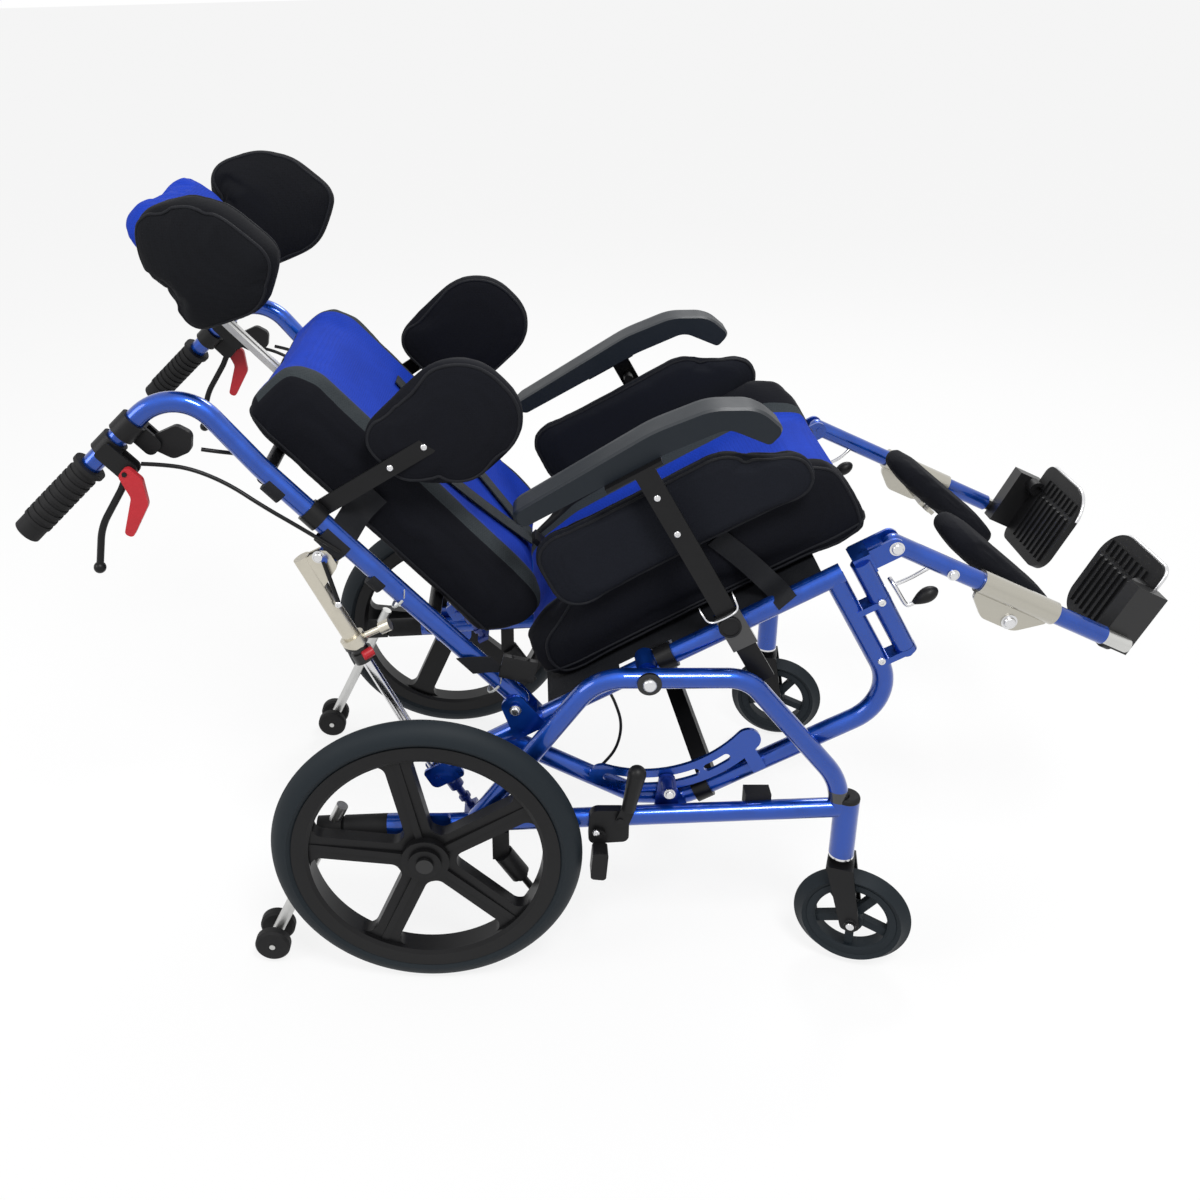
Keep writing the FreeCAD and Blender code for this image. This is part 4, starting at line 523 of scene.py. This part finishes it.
ONE_OF = {
    "base_frames": BASE_PAINT,
    "frame_sleeves": GRIP_RUBBER,
    "axle_and_pivot_bolts": BOLT_STEEL,
    "tilt_locks_and_stops": NAVY,
    "brake_brackets": BLACK_PLASTIC,
    "seat_frames": SEAT_PAINT,
    "cross_brace": BLACK_PAINT,
    "seat_sling": WEBBING,
    "seat_cushion": SEAT_CLOTH,
    "back_canes": PAINT,
    "back_cushion": BACK_CLOTH,
    "back_bars": BLACK_PAINT,
    "hand_grips": GRIP_RUBBER,
    "lever_clamps": BLACK_PLASTIC,
    "trunk_pads": PLAIN_CLOTH,
    "cables": CABLE_SHEATH,
    "headrest_stem": SATIN,
    "headrest_pad": PLAIN_CLOTH,
}


def one_material(obj, material):
    obj.data.materials.clear()
    obj.data.materials.append(material)


for node, material in ONE_OF.items():
    one_material(frame["nodes"][node], material)
for node, material in BOTH_SIDES.items():
    for side, end in SIDES:
        one_material(frame["nodes"][node + "_" + end], material)


# Editing by hand, in code


def only(obj):
    """Selects obj alone, as the active one, in object mode."""
    if bpy.context.mode != "OBJECT":
        bpy.ops.object.mode_set(mode="OBJECT")
    bpy.ops.object.select_all(action="DESELECT")
    obj.select_set(True)
    bpy.context.view_layer.objects.active = obj


def edit_all(obj):
    """Opens obj for editing, with all of it selected."""
    only(obj)
    bpy.ops.object.mode_set(mode="EDIT")
    bpy.ops.mesh.select_all(action="SELECT")


def leave_edit():
    bpy.ops.object.mode_set(mode="OBJECT")


def pick_faces(obj, rule):
    """Selects the faces for which rule(centre, normal) holds, and stays in edit mode."""
    only(obj)
    bpy.ops.object.mode_set(mode="EDIT")
    bpy.ops.mesh.select_mode(type="FACE")
    bpy.ops.mesh.select_all(action="DESELECT")
    leave_edit()
    for face in obj.data.polygons:
        face.select = rule(face.center, face.normal)
    bpy.ops.object.mode_set(mode="EDIT")


def apply_all(obj):
    only(obj)
    for modifier in list(obj.modifiers):
        bpy.ops.object.modifier_apply(modifier=modifier.name)


def twin(source, name):
    """A new object at the origin, with its own copy of another's mesh."""
    copy = bpy.data.objects.new(name, source.data.copy())
    bpy.context.collection.objects.link(copy)
    return copy


def middle_y(obj):
    return sum(v.co.y for v in obj.data.vertices) / len(obj.data.vertices)


def extent(obj):
    """The diagonal of a mesh's own box."""
    places = [v.co for v in obj.data.vertices]
    low = Vector([min(p[i] for p in places) for i in range(3)])
    high = Vector([max(p[i] for p in places) for i in range(3)])
    return (high - low).length


def loose_copies(node):
    """Copies of a solid's separate bodies, merged and at the origin, sorted by their middle in Y."""
    edit_all(twin(frame["nodes"][node], node + "_copy"))
    bpy.ops.mesh.remove_doubles(threshold=0.00001)
    bpy.ops.mesh.separate(type="LOOSE")
    leave_edit()
    return sorted(bpy.context.selected_objects, key=middle_y)


def cut_flat(obj, place, normal):
    """Takes away what lies on the far side of a plane, along its normal, and closes the cut."""
    edit_all(obj)
    bpy.ops.mesh.bisect(plane_co=place, plane_no=normal, use_fill=False, clear_outer=True)
    bpy.ops.mesh.select_all(action="SELECT")
    bpy.ops.mesh.fill_holes(sides=0)
    bpy.ops.mesh.select_all(action="SELECT")
    bpy.ops.mesh.normals_make_consistent(inside=False)
    leave_edit()


def keep_outline(place, normal):
    """Leaves of the mesh being edited only the line in which a plane cuts it."""
    bpy.ops.mesh.bisect(plane_co=place, plane_no=normal, clear_inner=True, clear_outer=True)
    bpy.ops.mesh.select_all(action="SELECT")
    bpy.ops.mesh.delete(type="ONLY_FACE")


def round_line(line, radius, roundness, capped):
    """Makes a mesh of loose edges a round wire, in place."""
    only(line)
    bpy.ops.object.convert(target="CURVE")
    wire = bpy.context.object
    wire.data.bevel_depth = radius
    wire.data.bevel_resolution = roundness
    wire.data.use_fill_caps = capped
    bpy.ops.object.convert(target="MESH")
    bpy.ops.object.shade_smooth()
    return bpy.context.object


# Soft pads: each starts from its solid, is filled like foam in a cover, and gets its seams

COVER_STEPS = 20


def fill(pad, voxel, most, pressure=4.0, start_in=0.003, rounding=4):
    """Remeshes a pad and blows it up a little as cloth, so that its cover is tight over foam."""
    remesh = pad.modifiers.new("even faces", "REMESH")
    remesh.mode = "VOXEL"
    remesh.voxel_size = voxel
    apply_all(pad)
    edit_all(pad)
    bpy.ops.transform.shrink_fatten(value=-start_in)
    leave_edit()
    smooth = pad.modifiers.new("soften", "SMOOTH")
    smooth.factor = 0.5
    smooth.iterations = rounding
    apply_all(pad)
    rest = [v.co.copy() for v in pad.data.vertices]
    cover = pad.modifiers.new("cover", "CLOTH")
    cover.settings.quality = 5
    cover.settings.mass = 0.3
    cover.settings.use_pressure = True
    cover.settings.uniform_pressure_force = pressure
    cover.settings.effector_weights.gravity = 0
    cover.point_cache.frame_start = 1
    cover.point_cache.frame_end = COVER_STEPS
    for step in range(1, COVER_STEPS + 1):
        bpy.context.scene.frame_set(step)
    apply_all(pad)
    for vertex, place in zip(pad.data.vertices, rest):
        move = vertex.co - place
        if move.length > most:
            vertex.co = place + move.normalized() * most
    bpy.context.scene.frame_set(1)
    finer = pad.modifiers.new("finer", "SUBSURF")
    finer.levels = finer.render_levels = 1
    apply_all(pad)
    bpy.ops.object.shade_smooth()


def cover_with(pad, name, material, body, node):
    pad.name = name
    one_material(pad, material)
    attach(pad, body)
    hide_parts(node)


def welt(pad, name, place, normal, radius, body):
    """Piping round a pad, where a plane through place cuts it. Nothing is left where it misses the pad."""
    seam = twin(pad, name)
    edit_all(seam)
    keep_outline(place, normal)
    leave_edit()
    if len(seam.data.edges) < 8:
        bpy.data.objects.remove(seam)
        return
    seam = round_line(seam, radius, 2, False)
    one_material(seam, WELT_CLOTH)
    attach(seam, body)


def seat_cushion():
    pad = loose_copies("seat_cushion")[0]
    fill(pad, 0.007, 0.006)
    cover_with(pad, "seat_cushion_cover", SEAT_CLOTH, "seat", "seat_cushion")
    for side, end in SIDES:
        place = at(seat_frame, 0, side * 170, 0)
        welt(pad, "seat_cushion_piping_" + end, place, way(seat_frame, 0, 1, 0), 0.0022, "seat")
    welt(pad, "seat_cushion_base_seam", at(seat_frame, 0, 0, 14), way(seat_frame, 0, 0, 1), 0.0018, "seat")


def back_cushion():
    pad = loose_copies("back_cushion")[0]
    fill(pad, 0.007, 0.006)
    cover_with(pad, "back_cushion_cover", BACK_CLOTH, "back", "back_cushion")
    welt(pad, "back_cushion_rear_seam", at(back_frame, 22, 0, 0), way(back_frame, 1, 0, 0), 0.0018, "back")


def trunk_pads():
    for pad, (side, end) in zip(loose_copies("trunk_pads"), SIDES):
        fill(pad, 0.005, 0.007, start_in=0.001, rounding=22)
        cover_with(pad, "trunk_pad_cover_" + end, PLAIN_CLOTH, "back", "trunk_pads")
        for depth in (183, 206):
            name = "trunk_pad_piping_%s_%d" % (end, depth)
            welt(pad, name, Vector((0, side * depth, 0)) * MM, Vector((0, 1, 0)), 0.0022, "back")


HEAD_TURN = math.radians(-3.5)
WING_TURN = math.radians(14)
HEAD_RISE_FROM = 640
HEAD_RISE_OVER = 105
HEAD_RISE = 14


def headrest():
    """A blue middle between two black wings, which touch it, on a steel mount."""
    parts = sorted(loose_copies("headrest_pad"), key=extent)
    mount = parts[0]
    mount.name = "headrest_mount"
    one_material(mount, SATIN)
    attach(mount, "headrest")
    whole = parts[-1]
    hinge = Matrix.Translation((0.030, 0, 0))
    turned = back_frame @ hinge @ Matrix.Rotation(HEAD_TURN, 4, "Z") @ hinge.inverted()
    middle = twin(whole, "headrest_middle")
    for side, end in SIDES:
        at_wing = Matrix.Translation(Vector((84, side * 136, 0)) * MM)
        joint = turned @ at_wing @ Matrix.Rotation(side * WING_TURN, 4, "Z")
        place = at(joint, 0, -side * 22, 0)
        inward = way(joint, 0, -side, 0)
        cut_flat(middle, place + inward * 0.0003, -inward)
        wing = twin(whole, "headrest_wing_" + end)
        cut_flat(wing, place - inward * 0.0003, inward)
        fill(wing, 0.005, 0.012, pressure=6.0, start_in=0.001, rounding=30)
        cover_with(wing, "headrest_wing_" + end, WING_CLOTH, "headrest", "headrest_pad")
        for depth in (-15, 15):
            name = "headrest_wing_%s_piping_%d" % (end, depth + 20)
            welt(wing, name, at(joint, 0, depth, 0), inward, 0.0020, "headrest")
    bpy.data.objects.remove(whole)
    raised = back_frame.to_3x3() @ Vector((0.35, 0, 1))
    for vertex in middle.data.vertices:
        height = (back_frame.inverted() @ vertex.co).z / MM - HEAD_RISE_FROM
        if height > 0:
            vertex.co += raised * min(height / HEAD_RISE_OVER, 1) * HEAD_RISE * MM
    fill(middle, 0.005, 0.010, pressure=5.0, start_in=0.001, rounding=6)
    cover_with(middle, "headrest_middle", HEAD_CLOTH, "headrest", "headrest_pad")


def calf_pads():
    for side, end in SIDES:
        node = "calf_pad_" + end
        pad = loose_copies(node)[0]
        fill(pad, 0.0045, 0.004)
        cover_with(pad, node + "_cover", PLAIN_CLOTH, node, node)


def side_guards():
    for side, end in SIDES:
        node = "side_guard_" + end
        pad = loose_copies(node)[0]
        fill(pad, 0.005, 0.006, start_in=0.001, rounding=26)
        cover_with(pad, node + "_cover", GUARD_CLOTH, "armrest_" + end, node)
        for depth in (190.5, 205.5):
            place = Vector((0, side * depth, 0)) * MM
            welt(pad, "%s_piping_%d" % (node, depth), place, Vector((0, 1, 0)), 0.0022, "armrest_" + end)


seat_cushion()
back_cushion()
trunk_pads()
headrest()
calf_pads()
side_guards()


# Screws, bolts and caps: each is modelled once and copied to its places


def turned_stub(name, radius, height, sides=32):
    """A plain cylinder that stands on the origin, its axis up."""
    bpy.ops.object.select_all(action="DESELECT")
    bpy.ops.mesh.primitive_cylinder_add(
        vertices=sides, radius=radius * MM, depth=height * MM, location=(0, 0, height * MM / 2))
    bpy.ops.object.transform_apply(location=True, rotation=True, scale=True)
    bpy.context.object.name = name
    return bpy.context.object


def pick_top(piece):
    pick_faces(piece, lambda centre, normal: normal.z > 0.9)


def round_edges(width, steps):
    bpy.ops.mesh.bevel(offset=width * MM, segments=steps, affect="EDGES")


def sink_flat_top(piece, level, margin, depth):
    """A round recess in what is left flat of a rounded top."""
    pick_faces(piece, lambda centre, normal: normal.z > 0.99 and centre.z > level * MM)
    bpy.ops.mesh.inset(thickness=margin * MM)
    bpy.ops.mesh.extrude_region_move(TRANSFORM_OT_translate={"value": (0, 0, -depth * MM)})


def smooth_but_for(angle):
    """Ends an edit: smooth shading, except over edges sharper than angle."""
    leave_edit()
    bpy.ops.object.shade_smooth_by_angle(angle=angle)


def stand(piece, place, toward, grow=1.0):
    """Moves a mesh from the origin, its axis up, to place, its axis along toward."""
    turn = Vector((0, 0, 1)).rotation_difference(toward).to_matrix().to_4x4()
    piece.data.transform(Matrix.Translation(place) @ turn @ Matrix.Scale(grow, 4))


def finish(piece, material, body):
    one_material(piece, material)
    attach(piece, body)


def socket_screw():
    """A button-head screw of 10 mm with a socket in its head."""
    head = turned_stub("socket_screw", 5.0, 3.2)
    pick_top(head)
    round_edges(2.2, 4)
    sink_flat_top(head, 3.1, 0.7, 1.6)
    smooth_but_for(0.7)
    return head


def washer_bolt():
    """A domed bolt head of 14 mm on its washer."""
    head = turned_stub("washer_bolt", 9.0, 1.6)
    pick_top(head)
    bpy.ops.mesh.inset(thickness=2.2 * MM)
    bpy.ops.mesh.extrude_region_move(TRANSFORM_OT_translate={"value": (0, 0, 4.2 * MM)})
    round_edges(2.6, 5)
    smooth_but_for(0.7)
    return head


def round_cap():
    """A flat plastic cap of 28 mm with a raised rim."""
    cap = turned_stub("round_cap", 14.0, 3.4, 40)
    pick_top(cap)
    round_edges(1.2, 3)
    sink_flat_top(cap, 3.3, 1.8, 0.9)
    smooth_but_for(0.7)
    return cap


def stand_on(model, name, place, toward, body, material, grow=1.0):
    """A copy of a model with its foot at place and its axis along toward."""
    piece = twin(model, name)
    stand(piece, place, toward, grow)
    finish(piece, material, body)


SCREW = socket_screw()
BOLT = washer_bolt()
CAP = round_cap()

# Name, model, frame, along, distance from the middle plane, up, size, body (S stands for the side), material
FIXINGS = [
    ("trunk_arm_screw_a", SCREW, back_frame, 163, 214.7, 323.5, 0.85, "back", CHROME),
    ("trunk_arm_screw_b", SCREW, back_frame, 115, 214.7, 333, 0.85, "back", CHROME),
    ("arm_post_screw_a", SCREW, seat_frame, 118, 242, 199, 0.85, "armrest_S", CHROME),
    ("arm_post_screw_b", SCREW, seat_frame, 117, 242, 146, 0.85, "armrest_S", CHROME),
    ("recline_bolt", BOLT, back_frame, 0, 242.7, 0, 0.85, "back", CHROME),
    ("strut_top_bolt", BOLT, back_frame, -26.5, 230, 316, 0.9, "strut_tube_S", CHROME),
    ("wheel_lock_screw_a", SCREW, chair_frame, 223, 281, 250, 1.0, "base", CHROME),
    ("wheel_lock_screw_b", SCREW, chair_frame, 247, 281, 250, 1.0, "base", CHROME),
    ("shoe_screw", SCREW, chair_frame, 218, 292.3, 229, 0.9, "wheel_lock_shoe_S", CHROME),
    ("tilt_lock_bolt", BOLT, chair_frame, 311, 276.5, 277.5, 0.8, "base", CHROME),
    ("knee_bolt", BOLT, leg_frame, 0, 221.3, 0, 1.0, "hanger_S", CHROME),
    ("legrest_bolt", BOLT, leg_frame, 82, 217.2, -3, 0.8, "legrest_S", CHROME),
    ("cheek_bolt", BOLT, leg_frame, 184, 208, -32, 1.1, "legrest_S", CHROME),
    ("hanger_bolt_a", SCREW, seat_frame, 288, 235, -61, 1.0, "seat", CHROME),
    ("hanger_bolt_b", SCREW, seat_frame, 255, 234.2, -137, 1.0, "seat", CHROME),
    ("arm_socket_cap", CAP, seat_frame, 115.8, 245.2, 4.8, 1.0, "seat", BLACK_PLASTIC),
]
CASTER_TURNS = {"right": math.radians(-19), "left": math.radians(-15)}


def fixings():
    for name, model, place_frame, along, outward, up, size, body, material in FIXINGS:
        for side, end in SIDES:
            place = at(place_frame, along, side * outward, up)
            stand_on(model, name + "_" + end, place, Vector((0, side, 0)), body.replace("S", end), material, size)
    for side, end in SIDES:
        low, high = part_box("caster_wheel_" + end)
        toward = Matrix.Rotation(CASTER_TURNS[end], 3, "Z") @ Vector((0, side, 0))
        place = (Vector(low) + Vector(high)) / 2 + toward * 0.0224
        stand_on(BOLT, "caster_bolt_" + end, place, toward, "caster_fork_" + end, CHROME, 0.85)


# Straps and webbing, drawn along their own lines


def strap(name, line, across, width, thick, material, body, rounds=2):
    """A flat strap whose middle follows line, with its width along across."""
    steps = len(line) - 1
    bpy.ops.object.select_all(action="DESELECT")
    bpy.ops.mesh.primitive_grid_add(x_subdivisions=steps, y_subdivisions=2, size=1)
    piece = bpy.context.object
    piece.name = name
    for vertex in piece.data.vertices:
        step = round((vertex.co.x + 0.5) * steps)
        vertex.co = line[step] + across * (vertex.co.y * width * MM)
    finer = piece.modifiers.new("finer", "SUBSURF")
    finer.levels = finer.render_levels = rounds
    finer.boundary_smooth = "PRESERVE_CORNERS"
    apply_all(piece)
    wall = piece.modifiers.new("thick", "SOLIDIFY")
    wall.thickness = thick * MM
    wall.offset = 0
    apply_all(piece)
    bpy.ops.object.shade_smooth_by_angle(angle=0.8)
    finish(piece, material, body)


def side_release_buckle(name, place, along, across, body):
    """A two-part buckle of 44 by 31 mm: a shell that narrows in its middle, with a sunk end for the webbing."""
    bpy.ops.object.select_all(action="DESELECT")
    bpy.ops.mesh.primitive_cube_add(size=1)
    shell = bpy.context.object
    shell.name = name
    shell.scale = (44 * MM, 31 * MM, 8 * MM)
    bpy.ops.object.transform_apply(location=True, rotation=True, scale=True)
    edit_all(shell)
    bpy.ops.mesh.subdivide(number_cuts=3)
    leave_edit()
    pick_faces(shell, lambda centre, normal: normal.z > 0.9 and centre.x > 0.012)
    bpy.ops.mesh.inset(thickness=1.2 * MM)
    bpy.ops.mesh.extrude_region_move(TRANSFORM_OT_translate={"value": (0, 0, -2.2 * MM)})
    pick_faces(shell, lambda centre, normal: abs(normal.y) > 0.9 and abs(centre.x) < 0.010)
    bpy.ops.mesh.extrude_region_move(TRANSFORM_OT_translate={"value": (0, 0, 0)})
    bpy.ops.transform.resize(value=(0.8, 0.82, 0.7), center_override=(0, 0, 0))
    leave_edit()
    edges = shell.modifiers.new("round edges", "BEVEL")
    edges.width = 1.0 * MM
    edges.segments = 2
    apply_all(shell)
    bpy.ops.object.shade_smooth_by_angle(angle=0.6)
    out = along.cross(across).normalized()
    turn = Matrix((along.normalized(), across.normalized(), out)).transposed().to_4x4()
    shell.data.transform(Matrix.Translation(place) @ turn)
    finish(shell, BLACK_PLASTIC, body)


CUSHION_STRAP_HEIGHT = 316
CUSHION_STRAP = [
    (9, 207.6), (-6, 207.8), (-15.6, 214), (-15.8, 230), (-6, 238), (8, 237.2),
    (19, 226), (26, 206), (32, 190), (40, 180.6), (66, 178.6)]
HARNESS_FRONT = 110
HARNESS_NEAR = [(-92, 360), (-84, 300), (-72, 220), (-50, 148), (-26, 84)]
HARNESS_FAR = [(84, 360), (72, 300), (38, 190), (10, 134), (-8, 84)]
HIP_BELT = [(-3, 237.6, 88), (6, 238.6, 82), (18, 240.5, 74), (32, 242.5, 62)]
BELT_ANCHOR = [
    (150, 187, 92), (162, 187, 62), (172, 188.5, 34), (180, 196, 10), (185, 214, 7), (188, 232, 6), (190, 238, -4)]


def cane_straps():
    """The straps that hold the back cushion on its tubes, with their hook-and-loop ends on its sides."""
    for side, end in SIDES:
        line = on_side(back_frame, side, [(n, y, CUSHION_STRAP_HEIGHT) for n, y in CUSHION_STRAP])
        name = "cushion_strap_%s_%d" % (end, CUSHION_STRAP_HEIGHT)
        strap(name, line, way(back_frame, 0, 0, 1), 38, 1.5, WEBBING, "back")


def harness():
    """A chest harness on the front of the back cushion: two straps to a buckle."""
    across = way(back_frame, 0, 1, 0)
    for name, line in (("harness_strap_right", HARNESS_NEAR), ("harness_strap_left", HARNESS_FAR)):
        points = [at(back_frame, HARNESS_FRONT, y, v) for y, v in line]
        strap(name, points, across, 30, 1.6, TAPE, "back")
    down = way(back_frame, 0, 0.1, -1)
    side_release_buckle("harness_buckle", at(back_frame, HARNESS_FRONT + 4, -17, 62), down, across, "back")


def hip_belt():
    """A lap belt that hangs open: a strap and half a buckle on each side, from the tube to beside the cushion."""
    for side, end in SIDES:
        line = on_side(back_frame, side, HIP_BELT)
        strap("hip_belt_" + end, line, way(back_frame, 0, 0, 1), 30, 1.8, WEBBING, "back")
        along = way(back_frame, 0.55, 0, -0.83)
        flat = way(back_frame, 0.83, 0, 0.55) * side
        side_release_buckle("hip_buckle_" + end, at(back_frame, 46, side * 244, 42), along, flat, "back")
        anchor = on_side(seat_frame, side, BELT_ANCHOR)
        strap("belt_anchor_" + end, anchor, way(seat_frame, 1, 0, 0.3), 28, 1.8, WEBBING, "seat")


def tube_band(name, place, axis, radius, length, material, body):
    """A band round a tube, a little proud of it, with soft edges."""
    band = turned_stub(name, radius, length, 40)
    pick_faces(band, lambda centre, normal: abs(normal.z) > 0.9)
    round_edges(0.8, 3)
    smooth_but_for(0.6)
    stand(band, place - axis * length * MM / 2, axis)
    finish(band, material, body)


def tube_bands():
    up = way(back_frame, 0, 0, 1)
    for side, end in SIDES:
        tube_band("upper_band_" + end, at(back_frame, 1.2, side * 222, 412), up, 14.3, 26, WEBBING, "back")
        tube_band("lower_band_" + end, at(back_frame, 0, side * 222, 243), up, 14.0, 20, WEBBING, "back")


# Wires, rods and cables


def smooth_curve(name, points, radius, roundness):
    """A curve with a round section, pulled smoothly along points."""
    data = bpy.data.curves.new(name, "CURVE")
    data.dimensions = "3D"
    spline = data.splines.new("NURBS")
    spline.points.add(len(points) - 1)
    for spot, point in zip(spline.points, points):
        spot.co = (*point, 1)
    spline.order_u = 3
    spline.use_endpoint_u = True
    data.bevel_depth = radius * MM
    data.bevel_resolution = roundness
    data.use_fill_caps = True
    curve = bpy.data.objects.new(name, data)
    bpy.context.collection.objects.link(curve)
    return curve


def wire_piece(name, points, radius, material, body):
    """A bent wire or rod along points, made a mesh."""
    only(smooth_curve(name, points, radius, 3))
    bpy.ops.object.convert(target="MESH")
    wire = bpy.context.object
    bpy.ops.object.shade_smooth()
    finish(wire, material, body)


def teardrop_knob(name, start, end, body):
    """A black knob that swells from its neck to a round end."""
    length = (end - start).length
    bpy.ops.object.select_all(action="DESELECT")
    bpy.ops.mesh.primitive_uv_sphere_add(segments=24, ring_count=16, radius=0.5, location=(0, 0, 0.5))
    bpy.ops.object.transform_apply(location=True, rotation=True, scale=True)
    knob = bpy.context.object
    knob.name = name
    for vertex in knob.data.vertices:
        swell = 0.45 + 0.75 * math.sin(math.pi * min(1.0, vertex.co.z) * 0.62)
        vertex.co.x *= swell * 17 * MM
        vertex.co.y *= swell * 17 * MM
        vertex.co.z *= length
    stand(knob, start, end - start)
    only(knob)
    bpy.ops.object.shade_smooth()
    finish(knob, BLACK_PLASTIC, body)


# Name, frame, points, radius, body (S stands for the side)
WIRES = [
    ("post_clip_", seat_frame, [
        (94, 238, 42), (94, 247, 38), (96, 248.6, 22), (116, 248.8, 20), (136, 248.6, 22), (138, 247, 38),
        (138, 238, 42)], 1.3, "seat"),
    ("legrest_rod_", leg_frame, [(62, 200, -8), (58, 196, -20), (46, 196, -40), (34, 196, -54)], 2.6, "hanger_S"),
    ("angle_lever_", leg_frame, [
        (26, 196, -46), (30, 206, -48), (44, 207, -57), (58, 207, -66), (62, 207, -64), (66, 207, -58)], 2.8,
     "hanger_S"),
]


def wires_and_rods():
    for side, end in SIDES:
        for name, place_frame, points, radius, body in WIRES:
            wire_piece(name + end, on_side(place_frame, side, points), radius, CHROME, body.replace("S", end))
        neck, tip = on_side(leg_frame, side, [(63, 207, -62), (81, 207, -30)])
        teardrop_knob("angle_knob_" + end, neck, tip, "hanger_" + end)


# Each cable follows one smooth line from its lever to where it is clipped.
# Name, frame, points, radius, length in metres, body, node that it replaces
CABLES = [
    ("brake_cable_", back_frame, [
        (-79, 247.2, 544.4), (-62, 246.2, 526.4), (-42, 244.2, 498.4), (-28, 240.2, 456.4), (-18, 244.5, 408.4),
        (-8, 240.5, 356.4), (1, 237.5, 304.4)], 2.5, 0.256, "back", "cables"),
    ("release_cable_", back_frame, [
        (-28, 218.8, 505.3), (-16, 216.8, 488.3), (-4, 207.5, 468.3), (7, 206.5, 446.3)],
     2.5, 0.069, "back", "cables"),
    ("seat_cable_", seat_frame, [
        (-66, 206.9, -10), (-66, 202, -26), (-68, 199, -50), (-76, 198, -84), (-98, 199, -112), (-122, 203, -123),
        (-139, 206.9, -126)], 2.0, 0.155, "seat", None),
]


def control_cables():
    for side, end in SIDES:
        for name, place_frame, line, radius, length, body, node in CABLES:
            points = on_side(place_frame, side, line)
            cable = smooth_curve(name + end, points, radius, 4)
            cable.data.materials.append(CABLE_SHEATH)
            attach(cable, body)
            if node:
                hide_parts(node)


def cable_ties():
    """Pale ties that hold the cable to each back tube, with their cut tails."""
    for side, end in SIDES:
        for v in (205, 36):
            bpy.ops.object.select_all(action="DESELECT")
            bpy.ops.mesh.primitive_torus_add(
                major_segments=40, minor_segments=8, major_radius=13.5 * MM, minor_radius=0.9 * MM)
            tie = bpy.context.object
            tie.name = "cable_tie_%s_%d" % (end, v)
            pick_faces(tie, lambda centre, normal: abs(normal.z) > 0.3)
            bpy.ops.transform.resize(value=(1, 1, 2.0), center_override=(0, 0, 0))
            leave_edit()
            bpy.ops.object.shade_smooth()
            stand(tie, at(back_frame, 0, side * 222, v), way(back_frame, 0, 0, 1))
            finish(tie, TIE_NYLON, "back")
            tail = on_side(back_frame, side, [(8, 233, v), (14, 237, v + 4), (20, 238, v + 10)])
            wire_piece("cable_tie_tail_%s_%d" % (end, v), tail, 0.8, TIE_NYLON, "back")


def strut_details():
    """The guide rod beside each recline strut, its end screw, and the red release button."""
    for side, end in SIDES:
        body = "strut_tube_" + end
        rod = on_side(chair_frame, side, [(-113, 233.5, 588), (-106, 233.5, 560), (-99, 233.5, 532)])
        wire_piece("strut_guide_rod_" + end, rod, 2.8, BLACK_PAINT, body)
        place = at(chair_frame, -98.5, side * 236.0, 530)
        stand_on(SCREW, "strut_guide_screw_" + end, place, Vector((0, side, 0)), body, CHROME, 0.9)
        button = turned_stub("strut_button_" + end, 6.5, 15, 28)
        pick_top(button)
        round_edges(2.4, 4)
        smooth_but_for(0.7)
        stand(button, at(chair_frame, -62, side * 226, 459), Vector((-0.8, side * 0.5, -0.3)).normalized())
        finish(button, RED_PLASTIC, body)


def footplate_rims():
    """The bright rim round the free end of each footplate."""
    face = Vector((-0.90, 0, 0.43)).normalized()
    along = Vector((0.43, 0, 0.90)).normalized()
    for side, end in SIDES:
        node = "footplate_" + end
        source = frame["nodes"][node]
        level = min(v.co.dot(face) for v in source.data.vertices) + 2.6 * MM
        spread = [v.co.dot(along) for v in source.data.vertices]
        edge = min(spread) + 0.70 * (max(spread) - min(spread))
        rim = twin(source, node + "_rim")
        edit_all(rim)
        bpy.ops.mesh.remove_doubles(threshold=0.00001)
        bpy.ops.mesh.select_all(action="SELECT")
        keep_outline(face * level, face)
        bpy.ops.mesh.select_all(action="SELECT")
        bpy.ops.mesh.bisect(plane_co=along * edge, plane_no=along, clear_inner=True)
        leave_edit()
        rim = round_line(rim, 2.6 * MM, 4, True)
        finish(rim, CHROME, node)


fixings()
cane_straps()
harness()
hip_belt()
tube_bands()
wires_and_rods()
control_cables()
cable_ties()
strut_details()
footplate_rims()
for model in (SCREW, BOLT, CAP):
    bpy.data.objects.remove(model)
